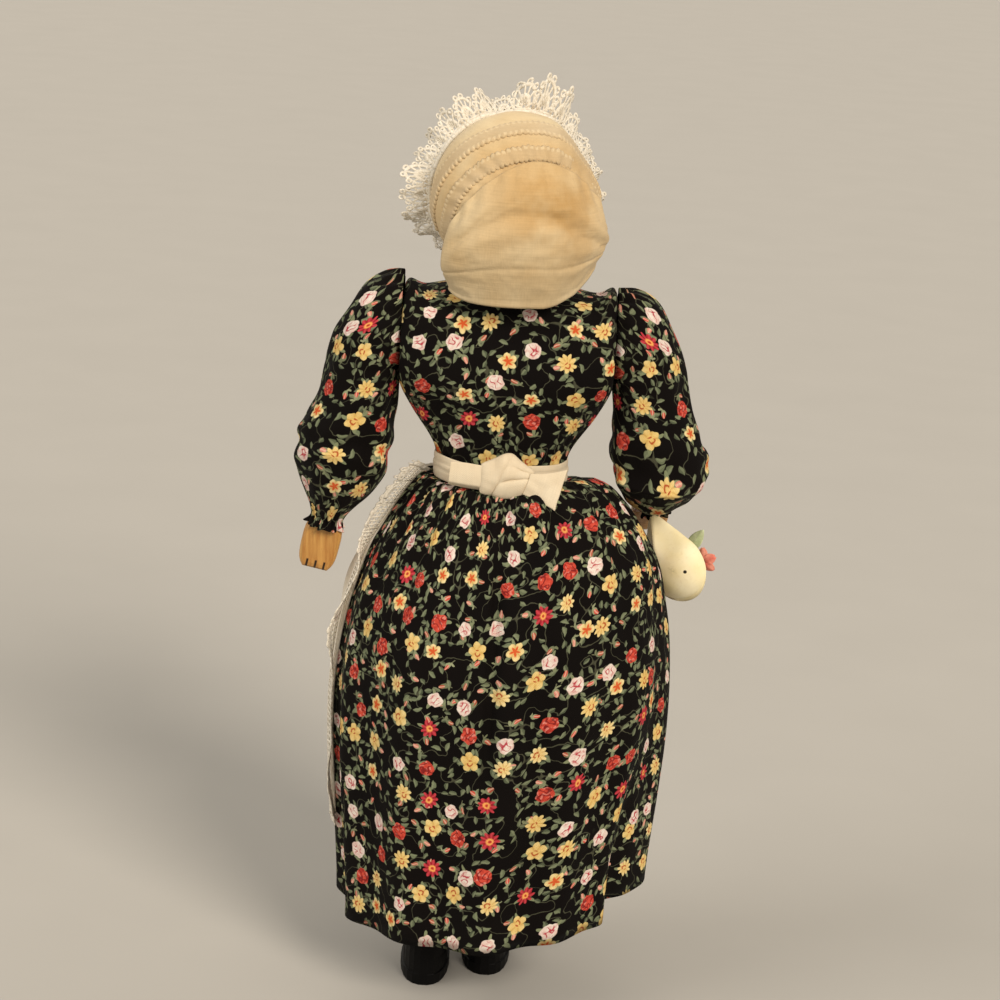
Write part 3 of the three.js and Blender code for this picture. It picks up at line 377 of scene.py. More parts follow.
@dataclass(frozen=True)
class Finish:
    """A surface finish; a kind of finish says how it is shaded."""

    name: str
    slot: Slot | None = None

    def shade(self, s: Shader) -> Material:
        """Returns the material, drawn with a fresh shader."""
        return s.surface(paint("808080"), 0.6)

    def material(self) -> Material:
        """Returns the finish's one material."""
        return bpy.data.materials.get(self.name) or self.shade(Shader(self.name))


@dataclass
class Sprig:
    """One printed motif's own coordinates in millimetres and its random choices."""

    x: Sock
    y: Sock
    radius: Sock
    angle: Sock
    kind: Sock
    tint: Sock
    middle: Sock


@dataclass(frozen=True)
class Calico(Finish):
    """Black cotton with a scattered print of small flowers, buds, leaves and vines."""

    flower_pitch: float = 9.6
    flower_radius: float = 2.52
    kinds: tuple[float, ...] = (0.27, 0.45, 0.53, 0.70, 1.1)
    bud_pitch: float = 5.6
    leaf_pitch: float = 2.55
    vine_scale: float = 0.19
    wobble: float = 1.0
    thread: float = 0.42

    def sprig(self, s: Shader, flat: Sock, pitch: float, jitter: float, shift: float) -> Sprig:
        """Scatters one kind of motif over the cloth.

        Args:
            s: The shader.
            flat: Place on the flat cloth.
            pitch: Mean distance between motifs.
            jitter: How far the motifs stray from an even grid, up to 1.
            shift: Shift of this layer against the others.

        Returns:
            The motif's coordinates at each point of the cloth.
        """
        aside = (shift, 0.63 * shift, 0.0)
        moved = s.vector("ADD", flat, aside)
        links = {"Vector": moved, "Scale": 1 / pitch, "Randomness": jitter}
        spot = s.node("ShaderNodeTexVoronoi", {"voronoi_dimensions": "2D"}, links)
        x, y, _ = s.parts(s.vector("SUBTRACT", moved, spot["Position"]))
        turn, kind, tint = s.parts(spot["Color"])
        angle = s.math("ARCTAN2", y, x) + turn * TURN
        radius = s.math("SQRT", x * x + y * y)
        middle = s.vector("SUBTRACT", spot["Position"], aside)
        return Sprig(radius * angle.cosine(), radius * angle.sine(), radius, angle, kind, tint, middle)

    def wobbled(self, s: Shader, flat: Sock) -> Sock:
        """Returns the place on the cloth pushed about a little, so that motifs look drawn by hand."""
        push = s.node("ShaderNodeTexNoise", {}, {"Vector": flat, "Scale": 0.5, "Detail": 1.0})["Color"]
        return s.vector("ADD", flat, s.scaled(s.vector("SUBTRACT", push, (0.5, 0.5, 0.5)), self.wobble))

    def oval(self, sprig: Sprig, x: float, y: float, half: tuple[float, float]) -> Sock:
        """Returns the mask of an oval at a place in a motif."""
        across, up = (sprig.x - x) / half[0], (sprig.y - y) / half[1]
        return (1 - (across * across + up * up)).inked(0.35)

    def lobes(self, sprig: Sprig, count: int, power: float) -> Sock:
        """Returns 1 along the middle of each petal of a motif and 0 between petals."""
        return abs((sprig.angle * (count / 2)).cosine()) ** power

    def strokes(self, s: Shader, flat: Sock, scale: float, width: float) -> Sock:
        """Returns thin wandering brush strokes."""
        return (width - abs(s.noise(flat, scale, 0.5) - 0.5)).inked(width)

    def off_vine(self, s: Shader, flat: Sock) -> Sock:
        """Returns how far a place lies from the winding line of a vine, as a difference of noise."""
        return abs(s.noise(flat, self.vine_scale, 0.0) - 0.5)

    def vines(self, s: Shader, flat: Sock, ground: Sock) -> Sock:
        """Lays thin curling stems over the ground colour."""
        stem = (0.010 - self.off_vine(s, flat)).inked(0.012)
        return s.mix(stem * 0.6, ground, "5d5e4a")

    def leaves(self, s: Shader, flat: Sock, ground: Sock) -> Sock:
        """Lays small pointed leaves along the vines."""
        sprig = self.sprig(s, flat, self.leaf_pitch, 0.8, 17.0)
        chosen = (0.115 - self.off_vine(s, sprig.middle)).inked(0.004) * sprig.kind.between(0.0, 0.85)
        bent = sprig.x - 0.18 * sprig.y * sprig.y
        length = 0.95 + 0.5 * sprig.tint
        leaf = (1 - abs(bent) / 0.54 - (sprig.y / length) ** 2).inked(0.35)
        green = s.mix(sprig.tint, "474f3c", "70785c")
        green = s.mix(bent.inked(0.15) * 0.5, green, "878e70")
        return s.mix(leaf * chosen, ground, green)

    def buds(self, s: Shader, flat: Sock, ground: Sock) -> Sock:
        """Lays stalked buds over the ground colour."""
        sprig = self.sprig(s, flat, self.bud_pitch, 0.9, 41.0)
        chosen = sprig.kind.between(0.0, 0.62)
        stalk = (0.12 - abs(sprig.x - 0.1 * sprig.y * sprig.y)).inked(0.1) * sprig.y.between(-2.6, -0.6)
        ground = s.mix(stalk * chosen, ground, "6c6e54")
        husk = self.oval(sprig, 0.0, -0.2, (0.74, 1.1)).top(self.oval(sprig, 0.7, -1.4, (0.7, 0.3)))
        ground = s.mix(husk * chosen, ground, s.mix(sprig.tint, "6f7558", "959a78"))
        petal = self.oval(sprig, 0.05, 0.3, (0.5, 0.9))
        colour = s.mix(sprig.tint.between(0.4, 0.75), "a8503c", "cf8474")
        colour = s.mix(sprig.tint.between(0.75, 1.1), colour, "c64a3e")
        colour = s.mix((0.16 - abs(sprig.x - 0.1)).inked(0.2) * 0.6, colour, "e6c8ae")
        return s.mix(petal * chosen, ground, colour)

    def yellow_flowers(self, s: Shader, f: Sprig, size: Sock, daisy: Sock) -> Sock:
        """Colours the yellow flowers, with a red star or a ring about their hearts."""
        between = 1 - self.lobes(f, 5, 0.6) * (1 - daisy) - self.lobes(f, 9, 0.6) * daisy
        colour = s.mix(f.tint, "e8d8a2", "dfc47e")
        colour = s.mix((f.radius / size).rise(0.9, 0.3) * 0.5, colour, "dcae5a")
        colour = s.mix(between * (f.radius - 0.3 * size).inked(0.5) * 0.7, colour, "b98a35")
        star = (size * (0.26 + 0.36 * self.lobes(f, 5, 2.0)) - f.radius).inked(0.5)
        off_x, off_y = f.x - 0.35, f.y - 0.2
        from_ring = s.math("SQRT", off_x * off_x + off_y * off_y)
        broken = ((f.angle * 2.0).sine() + 0.7).inked(0.3)
        ring = (0.2 - abs(from_ring - 0.26 * size)).inked(0.2) * broken
        starred = f.tint.between(-0.1, 0.45) * (1 - daisy)
        colour = s.mix(star * starred * 0.95, colour, "cc4f22")
        return s.mix(ring * (1 - starred) * 0.9, colour, "a8401f")

    def flowers(self, s: Shader, flat: Sock, ground: Sock) -> Sock:
        """Lays the open flowers over the ground colour."""
        f = self.sprig(s, flat, self.flower_pitch, 0.6, 5.0)
        size = self.flower_radius * (0.88 + 0.2 * f.tint)
        sepals = (size * 1.42 * self.lobes(f, 3, 9.0) - f.radius).inked(0.2)
        ground = s.mix(sepals * (f.radius - 0.7 * size).inked(0.2), ground, "7f8665")
        daisy, red_daisy, red_rose, white_rose = (
            f.kind.between(low, high) for low, high in zip(self.kinds, self.kinds[1:]))
        rose = red_rose + white_rose
        rayed = daisy + red_daisy
        five = 1 - rose - rayed
        ragged = 0.12 * (s.noise(flat, 0.9, 1.0) - 0.5)
        outline = five * (0.64 + 0.36 * self.lobes(f, 5, 0.7)) + rayed * (0.68 + 0.32 * self.lobes(f, 9, 1.3))
        outline = outline + rose * (0.8 + 0.1 * self.lobes(f, 5, 1.0)) + ragged
        mask = (size * outline - f.radius).inked(0.16)
        colour = self.yellow_flowers(s, f, size, daisy)
        wash = s.noise(flat, 0.7, 1.0)
        line = self.strokes(s, flat, 0.62, 0.045) * (0.8 * size - f.radius).inked(0.5)
        red = s.mix(wash.rise(0.35, 0.6), "ac352b", "ce4f3d")
        red = s.mix(s.noise(flat, 1.1, 0.0).rise(0.58, 0.68) * 0.8, red, "dc8a7c")
        red = s.mix(line * 0.85, red, "6f151a")
        colour = s.mix(red_rose, colour, red)
        ray = s.mix(self.lobes(f, 9, 3.0), "96222a", "c2414a")
        ray = s.mix((0.36 * size - f.radius).inked(0.4), ray, "eca65a")
        ray = s.mix((0.16 * size - f.radius).inked(0.3), ray, "b5382c")
        colour = s.mix(red_daisy, colour, ray)
        white = s.mix(wash.rise(0.4, 0.6), "e4d9cd", "dcbfb4")
        white = s.mix(line * (0.6 * size - f.radius).inked(0.8), white, "b23f4a")
        colour = s.mix(white_rose, colour, white)
        return s.mix(mask, ground, colour)

    def shade(self, s: Shader) -> Material:
        """Returns black cotton with its print, a fine weave and a soft nap."""
        flat = s.flat()
        cloud = s.noise(flat, 0.05, 3.0)
        drawn = self.wobbled(s, flat)
        ground = s.mix(cloud, "060302", "0c0705")
        ground = self.vines(s, drawn, ground)
        ground = self.leaves(s, drawn, ground)
        ground = self.buds(s, drawn, ground)
        ground = self.flowers(s, drawn, ground)
        x, y, _ = s.parts(flat)
        weave = s.weave(x, y, self.thread)
        fuzz = s.noise(flat, 2.2, 3.0)
        colour = s.tinted(ground, 0.84 + 0.10 * weave + 0.34 * (fuzz - 0.5) + 0.14 * cloud)
        return s.surface(colour, 0.8 + 0.1 * fuzz, weave + fuzz, 0.25, 0.12,
                         Sheen_Weight=0.01, Sheen_Roughness=0.5, Specular_IOR_Level=0.1)


@dataclass(frozen=True)
class PlainCotton(Finish):
    """Undyed or bleached cotton with visible threads and faint age marks."""

    light: str = "e0d8c8"
    dark: str = "c8baa0"
    thread: float = 0.5
    print_uv: bool = True

    def shade(self, s: Shader) -> Material:
        """Returns plain woven cotton."""
        flat = s.flat() if self.print_uv else s.place()
        x, y, z = s.parts(flat)
        second = y if self.print_uv else z
        warp = s.streaks(flat, (2.6, 0.12, 0.4), 2.0)
        weft = s.streaks(flat, (0.12, 2.6, 2.6), 2.0)
        weave = s.weave(x, second, self.thread)
        age = s.noise(flat, 0.06, 4.0).rise(0.38, 0.72)
        colour = s.mix(age * 0.75, self.light, self.dark)
        colour = s.tinted(colour, 0.86 + 0.16 * warp + 0.12 * weft + 0.03 * weave)
        return s.surface(colour, 0.86, weave * 0.5 + warp + weft, 0.3, 0.15,
                         Sheen_Weight=0.1, Sheen_Roughness=0.5, Specular_IOR_Level=0.25)


@dataclass(frozen=True)
class Muslin(Finish):
    """Thin yellowed muslin, more amber where the nut behind it shows through."""

    light: str = "d9c59e"
    dark: str = "c4a36f"
    amber: str = "b0894f"
    stain: float = 0.85
    nut: tuple[float, float, float] = (-9.0, 19.4, 219.5)
    nut_reach: float = 20.0
    stitch_pitch: float = 1.45
    stitch_rows: tuple[float, ...] = ()

    def stitched(self, s: Shader, colour: Sock) -> Sock:
        """Lays rows of pale stitches along the edges of a tape, which its own coordinates follow."""
        x, y, _ = s.parts(s.flat())
        dash = ((x * (TURN / self.stitch_pitch)).cosine() + 0.3).inked(0.8)
        for row in self.stitch_rows:
            colour = s.mix((0.5 - abs(y - row)).inked(0.3) * dash * 0.3, colour, "ecdab2")
        return colour

    def shade(self, s: Shader) -> Material:
        """Returns yellowed muslin with loose threads and painted shade towards the bottom, below the nut."""
        where = s.place()
        _, _, z = s.parts(where)
        crosswise = s.streaks(where, (0.10, 0.10, 2.4), 2.0)
        upright = s.streaks(where, (2.4, 2.4, 0.10), 2.0)
        age = s.noise(where, 0.05, 4.0).rise(0.35, 0.7)
        blotch = s.noise(s.vector("ADD", where, (31.0, 7.0, 11.0)), 0.09, 3.0).rise(0.34, 0.56)
        behind_nut = (1.25 - s.distance(where, self.nut) / self.nut_reach).clamped()
        colour = s.mix(age * 0.7, self.light, self.dark)
        colour = s.mix((0.35 + 0.65 * blotch) * behind_nut * self.stain, colour, self.amber)
        colour = self.stitched(s, colour)
        # Painted shade: the height ramp darkens the muslin from z 216 down to z 190, below the nut.
        colour = s.tinted(colour, 0.45 + 0.39 * z.rise(190.0, 216.0) + 0.2 * crosswise + 0.14 * upright)
        return s.surface(colour, 0.8, crosswise + upright, 0.35, 0.2,
                         Sheen_Weight=0.12, Sheen_Roughness=0.4, Specular_IOR_Level=0.3)


@dataclass(frozen=True)
class Thread(Finish):
    """Twisted thread of lace or wool."""

    light: str = "efe9dc"
    dark: str = "d6cdb9"
    twist: float = 1.6

    def shade(self, s: Shader) -> Material:
        """Returns thread with a fine twist."""
        where = s.place()
        strands = s.noise(where, self.twist, 3.0)
        colour = s.mix(strands.rise(0.3, 0.75), self.dark, self.light)
        return s.surface(colour, 0.85, strands, 0.4, 0.25, Sheen_Weight=0.15, Specular_IOR_Level=0.25)


@dataclass(frozen=True)
class NutShell(Finish):
    """Walnut shell with darker furrows and a plain painted face."""

    centre: float = 218.0
    turn: float = 15.0
    eye: tuple[float, float] = (5.2, 2.6)
    glint: tuple[float, float] = (4.9, 3.2)
    cheek: tuple[float, float] = (7.6, -3.6)
    brow_height: float = 5.9
    mouth_height: float = -8.6
    front_from: float = 6.0

    def face(self, s: Shader, x: Sock, z: Sock, front: Sock, colour: Sock) -> Sock:
        """Paints two dot eyes, brows, cheeks and a small calm mouth on the front of the nut."""
        side = abs(x)
        cheek = (1 - (((side - self.cheek[0]) / 3.0) ** 2 + ((z - self.cheek[1]) / 2.6) ** 2)).clamped()
        colour = s.mix(cheek * front * 0.45, colour, "cf6a52")
        eye = (1 - (((side - self.eye[0]) / 1.15) ** 2 + ((z - self.eye[1]) / 1.5) ** 2)).inked(0.3)
        colour = s.mix(eye * front, colour, "2a1d16")
        from_glint = s.math("SQRT", (side - self.glint[0]) ** 2 + (z - self.glint[1]) ** 2)
        glint = (0.36 - from_glint).inked(0.15)
        colour = s.mix(glint * front, colour, "f2ece0")
        arch = z - self.brow_height + 0.09 * (side - self.eye[0]) ** 2
        brow = (0.3 - abs(arch)).inked(0.2) * side.between(3.0, 7.6)
        colour = s.mix(brow * front * 0.8, colour, "5a4230")
        smile = z - self.mouth_height - 0.07 * x * x
        mouth = (0.5 - 0.02 * x * x - abs(smile)).inked(0.2) * side.between(-1.0, 3.4)
        return s.mix(mouth * front * 0.9, colour, "a5433a")

    def shade(self, s: Shader) -> Material:
        """Returns walnut shell with its face."""
        head = (AXIS.x, AXIS.y, self.centre)
        own = s.turned(s.vector("SUBTRACT", s.place(), head), "Z_AXIS", -self.turn)
        x, y, z = s.parts(own)
        furrow = s.streaks(own, (0.30, 0.30, 0.12), 5.0)
        vein = abs(furrow - 0.5)
        speck = s.noise(own, 1.4, 4.0)
        colour = s.mix(speck, "a9764a", "c99a68")
        colour = s.mix((1 - vein / 0.05).clamped() * 0.75, colour, "6b4325")
        colour = s.mix((1 - abs(y) / 0.7).clamped() * 0.5, colour, "7a4f2c")
        colour = self.face(s, x, z, (-1.0 * y - self.front_from).inked(0.8), colour)
        return s.surface(colour, 0.5 + 0.15 * speck, vein.rise(0.0, 0.16) + 0.2 * speck, 0.6, 0.6,
                         Specular_IOR_Level=0.4)


@dataclass(frozen=True)
class Wood(Finish):
    """Close-grained carved wood under a clear satin coat."""

    light: str = "c6964f"
    dark: str = "a36d2c"

    def shade(self, s: Shader) -> Material:
        """Returns carved wood with its grain along the height."""
        where = s.place()
        grain = s.streaks(where, (0.9, 0.9, 0.07), 4.0)
        pores = s.streaks(where, (4.0, 4.0, 0.35), 2.0)
        stain = s.noise(where, 0.09, 3.0)
        colour = s.mix(grain.rise(0.3, 0.7), self.light, self.dark)
        colour = s.mix(pores.rise(0.6, 0.75) * 0.4, colour, "8a5527")
        colour = s.tinted(self.inked(s, where, colour), 0.8 + 0.4 * stain)
        return s.surface(colour, 0.42 + 0.2 * grain, grain + pores, 0.25, 0.15, Coat_Weight=0.15)

    def inked(self, s: Shader, where: Sock, colour: Sock) -> Sock:
        """Returns the colour of plain wood, which has no ink on it."""
        return colour


@dataclass(frozen=True)
class CarvedHand(Wood):
    """A wooden hand with dark cuts between its fingers."""

    elbow: tuple[float, float, float] = (41.8, 0.0, 149.0)
    bend: float = 3.0
    splay: float = 11.0
    finger_gap: float = 2.34
    cut_top: float = -32.5
    cut_half: float = 0.3

    def inked(self, s: Shader, where: Sock, colour: Sock) -> Sock:
        """Returns the wood's colour with the cuts darkened."""
        own = s.vector("SUBTRACT", where, tuple(AXIS + Vector(self.elbow)))
        for axis, degrees in (("X_AXIS", self.bend), ("Y_AXIS", self.splay)):
            own = s.turned(own, axis, degrees)
        x, _, z = s.parts(own)
        beside = s.math("MINIMUM", abs(x), abs(abs(x) - self.finger_gap))
        line = (self.cut_half - beside).inked(0.15) * (self.cut_top - z).inked(0.3)
        return s.mix(line * 0.9, colour, "2b1a0e")


@dataclass(frozen=True)
class BlackPaint(Finish):
    """Brushed black paint on wood, dusty and rubbed in places."""

    def shade(self, s: Shader) -> Material:
        """Returns satin black paint."""
        where = s.place()
        brush = s.streaks(where, (0.4, 0.12, 2.2), 3.0)
        dust = s.noise(where, 0.22, 5.0).rise(0.5, 0.8)
        colour = s.mix(dust * 0.4, "040303", "110f0e")
        return s.surface(colour, 0.5 + 0.3 * dust + 0.1 * brush, brush, 0.25, 0.15, Specular_IOR_Level=0.12)


@dataclass(frozen=True)
class Wire(Finish):
    """Soft annealed wire, dull and slightly scaled."""

    def shade(self, s: Shader) -> Material:
        """Returns dull wire."""
        scale = s.noise(s.place(), 0.9, 4.0)
        colour = s.mix(scale, "6f7073", "a2a3a5")
        return s.surface(colour, 0.35 + 0.25 * scale, scale, 0.2, 0.05, Metallic=1.0)


@dataclass(frozen=True)
class ShellSkin(Finish):
    """The smooth pale skin of the basket, with a pin dot and a faint smudge."""

    dot: tuple[float, float, float] = (-51.6, -4.8, 118.4)
    smudge: tuple[float, float, float] = (-48.1, -5.65, 118.2)

    def shade(self, s: Shader) -> Material:
        """Returns pale yellow-cream shell."""
        where = s.place()
        cloud = s.noise(where, 0.12, 4.0)
        fine = s.noise(where, 1.1, 3.0)
        colour = s.mix(cloud.rise(0.3, 0.7), "fbf0cc", "efdfa8")
        colour = s.mix(fine.rise(0.55, 0.75) * 0.2, colour, "d2ba82")
        haze = (1 - s.distance(where, self.smudge) / 1.5).clamped() * fine.rise(0.4, 0.6)
        colour = s.mix(haze * 0.5, colour, "8b8458")
        colour = s.mix((0.5 - s.distance(where, self.dot)).inked(0.2), colour, "1c1a12")
        return s.surface(colour, 0.5 + 0.15 * cloud, cloud + 0.4 * fine, 0.2, 0.2, Specular_IOR_Level=0.35)


@dataclass(frozen=True)
class Petal(Finish):
    """Stiffened cloth of petals and leaves, mottled light and dark with a fine thread texture."""

    light: str = "e4776a"
    dark: str = "b93c36"

    def shade(self, s: Shader) -> Material:
        """Returns mottled stiffened cloth."""
        where = s.place()
        cloud = s.noise(where, 0.45, 3.0)
        thread = s.noise(where, 3.2, 2.0)
        colour = s.mix(cloud.rise(0.3, 0.7), self.light, self.dark)
        colour = s.tinted(colour, 0.85 + 0.3 * thread)
        return s.surface(colour, 0.82, thread, 0.25, 0.1, Sheen_Weight=0.1, Specular_IOR_Level=0.25)


@dataclass(frozen=True)
class Floor(Finish):
    """A plain pale paper floor."""

    tone: str = "b5b2ab"

    def shade(self, s: Shader) -> Material:
        """Returns pale matt paper."""
        fleck = s.noise(s.place(), 0.02, 3.0)
        colour = s.tinted(paint(self.tone)[:3], 0.97 + 0.06 * fleck)
        return s.surface(colour, 0.9, Specular_IOR_Level=0.1)


CALICO = Calico("flowered_calico", Slot.CALICO)
APRON_COTTON = PlainCotton("bleached_cotton", Slot.APRON)
SASH_COTTON = PlainCotton("sash_cotton", Slot.APRON, light="d8caaf", dark="c6ad88", thread=0.55)
STUFFED_COTTON = PlainCotton("stuffed_cotton", Slot.STUFFING, light="ead9bd", dark="cdb48c", print_uv=False)
BONNET_MUSLIN = Muslin("bonnet_muslin", Slot.MUSLIN)
TAPE_MUSLIN = Muslin(
    "tape_muslin", Slot.MUSLIN, light="cab694", dark="b99c6e", stain=0.25, stitch_rows=(0.8, 4.7))
LACE_THREAD = Thread("lace_thread", Slot.LACE)
WOOL = Thread("combed_wool", Slot.WOOL, light="e9e5dc", dark="a8a096", twist=0.9)
NUT_SHELL = NutShell("walnut_shell", Slot.NUT)
PALE_WOOD = Wood("carved_wood")
LEFT_HAND = CarvedHand("left_carved_hand")
RIGHT_HAND = CarvedHand("right_carved_hand", elbow=(-41.8, 0.0, 149.0), bend=48.0, splay=0.0)
BLACK = BlackPaint("brushed_black")
WIRE = Wire("soft_wire")
SHELL_SKIN = ShellSkin("basket_skin", Slot.SHELL)
MOSS = Petal("dried_moss", Slot.MOSS, light="9aa86a", dark="55603a")
RED_PETAL = Petal("red_petals", Slot.RED, light="eba088", dark="d9705f")
PINK_PETAL = Petal("pink_petals", Slot.PINK, light="f5c9bf", dark="e39c92")
YELLOW_PETAL = Petal("yellow_petals", Slot.YELLOW, light="f4da7d", dark="dfae43")
LEAF = Petal("leaf_cloth", Slot.LEAF, light="dde5bf", dark="b5c48e")
FLOWER_HEART = Petal("flower_hearts", Slot.YELLOW, light="f2cf6a", dark="c98b2e")
PAPER = Floor("pale_paper")


# Mesh tools


def running(line: list[Vector]) -> list[float]:
    """Returns the length along a line of points up to each of them."""
    lengths = [0.0]
    for here, there in zip(line, line[1:]):
        lengths.append(lengths[-1] + (there - here).length)
    return lengths


def column_falls(points: list[Vector], columns: int, rows: int) -> list[list[float]]:
    """Measures the cloth of a grid down each column.

    Args:
        points: The grid's points, row by row.
        columns: Faces across.
        rows: Faces down.

    Returns:
        For each column, the length down to each row, evened out over the columns beside it.
    """
    falls = [running(points[i :: columns + 1]) for i in range(columns + 1)]
    near = max(columns // 16, 1)
    even = []
    for i in range(columns + 1):
        beside = falls[max(i - near, 0) : i + near + 1]
        even.append([sum(line[j] for line in beside) / len(beside) for j in range(rows + 1)])
    return even


def lay_grid(
    bm: Mesh, columns: int, rows: int, place: Place, width: float = 1.0,
    joined: bool = False, fitted: bool = False, measure: Measure | None = None,
) -> None:
    """Adds a grid of faces to a mesh and moves it into place.

    Args:
        bm: The mesh.
        columns: Faces across.
        rows: Faces down.
        place: Gives the point for a share across and a share down.
        width: Width of the flat cloth, for its own coordinates.
        joined: Whether points that meet, as at the sides of a ring, are made one.
        fitted: Whether the cloth is cut as two halves with seams at a quarter and three quarters, each
            measured along its rows from its own middle, so that a print keeps its size as they narrow.
        measure: Gives the place on the flat cloth for two shares, where the cloth is cut otherwise.
    """
    made = bmesh.ops.create_grid(bm, x_segments=columns, y_segments=rows, size=0.5)["verts"]
    spots = {vert: (vert.co.x + 0.5, vert.co.y + 0.5) for vert in made}
    points = [place(*spots[vert]) for vert in made]
    falls = column_falls(points, columns, rows)
    stride = columns + 1
    reaches = [running(points[j : j + stride]) for j in range(0, len(points), stride)] if fitted else []
    layer = bm.loops.layers.uv.get("cloth") or bm.loops.layers.uv.new("cloth")
    for face in {face for vert in made for face in vert.link_faces}:
        across = sum(spots[vert][0] for vert in face.verts) / len(face.verts)
        past_middle, in_front = across > 0.5, 0.25 < across < 0.75
        for loop in face.loops:
            u, v = spots[loop.vert]
            i, j = round(u * columns), round(v * rows)
            run, fall = u * width, falls[i][j]
            if fitted:
                start = 0.5 if in_front else float(past_middle)
                run = reaches[j][i] - reaches[j][round(start * columns)] + width * in_front
            if measure is not None:
                run, fall = measure(u, v)
            loop[layer].uv = (run * MM, fall * MM)
    for vert, point in zip(made, points):
        vert.co = point
    if joined:
        bmesh.ops.remove_doubles(bm, verts=made, dist=JOIN_WITHIN)


def placed(name: str, data: bpy.types.ID) -> Piece:
    """Returns a new object of the scene that holds some data."""
    made = bpy.data.objects.new(name, data)
    bpy.context.scene.collection.objects.link(made)
    return made


def finish_mesh(bm: Mesh, name: str, to_row: Matrix = IN_ROW, smooth: bool = True) -> Piece:
    """Turns a mesh in the doll's millimetres into an object of the row frame.

    Args:
        bm: The mesh, which is used up.
        name: Name of the piece.
        to_row: Matrix from the mesh's own frame to the row frame.
        smooth: Whether faces are shaded smooth.

    Returns:
        The new object, at the origin.
    """
    bmesh.ops.recalc_face_normals(bm, faces=bm.faces)
    for face in bm.faces:
        face.smooth = smooth
    bm.transform(to_row)
    mesh = bpy.data.meshes.new(name)
    bm.to_mesh(mesh)
    bm.free()
    return placed(name, mesh)


def woven(
    name: str, grid: tuple[int, int], place: Place, width: float, to_row: Matrix = IN_ROW,
    joined: bool = False, fitted: bool = False, measure: Measure | None = None,
) -> Piece:
    """Returns one piece made of a single grid; takes what lay_grid and finish_mesh do."""
    bm = bmesh.new()
    lay_grid(bm, *grid, place, width, joined, fitted, measure)
    return finish_mesh(bm, name, to_row)


def whole(bm: Mesh) -> list[Any]:
    """Returns all the geometry of a mesh."""
    return [*bm.verts, *bm.edges, *bm.faces]


def close_ends(bm: Mesh) -> None:
    """Fills the open ends of a mesh."""
    bmesh.ops.holes_fill(bm, edges=[edge for edge in bm.edges if edge.is_boundary], sides=0)


def thicken(piece: Piece, thickness: float, offset: float = -1.0) -> Piece:
    """Gives a sheet its thickness in millimetres, inwards unless offset says otherwise."""
    wall = piece.modifiers.new("thickness", "SOLIDIFY")
    wall.thickness = thickness * MM
    wall.offset = offset
    return piece


def rounded(piece: Piece) -> Piece:
    """Smooths a piece by one subdivision."""
    surface = piece.modifiers.new("rounding", "SUBSURF")
    surface.levels = surface.render_levels = 1
    return piece


def settle(piece: Piece, finish: Finish, body: Body | None, *stands_for: str) -> Piece:
    """Gives a piece its finish's material and its body, and hides the CAD nodes that it stands for.

    Args:
        piece: The finished piece.
        finish: Its finish, whose material it takes.
        body: The body that it rides on, or None where it rides on none.
        *stands_for: CAD nodes that it replaces.

    Returns:
        The piece.
    """
    piece.data.materials.append(finish.material())
    if stands_for:
        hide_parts(*stands_for)
    if body is not None:
        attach(piece, body.value)
    log.info("%s: %d faces", piece.name, len(piece.data.polygons))
    return piece


def cut_flat(
    flat: tuple[float, float], held: Held, area: float | None = None,
) -> None:
    """Works out a sheet of cloth's flat size and area in metres, and keeps neither.

    Args:
        flat: Its flat size in millimetres.
        held: How it is held; not used.
        area: Its flat area in square millimetres, where it isn't a rectangle.
    """
    flat[0] * MM
    flat[1] * MM
    area and area * MM * MM


def repaint(node: str, finish: Finish) -> None:
    """Gives a CAD node that stays a better material."""
    piece = frame["nodes"][node]
    piece.data.materials.clear()
    piece.data.materials.append(finish.material())
    log.info("%s: CAD node, %s", node, finish.name)


def tube(bm: Mesh, line: list[Vector], radius: Callable[[float], float], sides: int) -> None:
    """Adds a round tube along a line of points, closed at both ends.

    Args:
        bm: The mesh.
        line: Points of the middle line.
        radius: Gives the radius at a share of the length.
        sides: Sides of the tube.
    """
    last = len(line) - 1

    def place(u: float, v: float) -> Vector:
        """Returns a point on the tube's skin."""
        i = round(v * last)
        way = (line[min(i + 1, last)] - line[max(i - 1, 0)]).normalized()
        side = way.cross(Vector((0.31, 0.87, 0.39))).normalized()
        up = way.cross(side)
        reach = radius(v)
        return line[i] + reach * (cos(u * TURN) * side + sin(u * TURN) * up)

    lay_grid(bm, sides, last, place, radius(0.5) * TURN, joined=True)


# The studio


@dataclass(frozen=True)
class Sun:
    """One broad light from far off, as of a large window, that lights the floor evenly."""

    name: str
    way: tuple[float, float, float]
    spread: float
    power: float
    tone: str

    def build(self) -> None:
        """Adds the light."""
        data = bpy.data.lights.new(self.name, "SUN")
        data.angle = radians(self.spread)
        data.energy = self.power
        data.color = paint(self.tone)[:3]
        lamp = placed(self.name, data)
        lamp.location = self.way
        lamp.rotation_euler = Vector(self.way).to_track_quat("Z", "Y").to_euler()


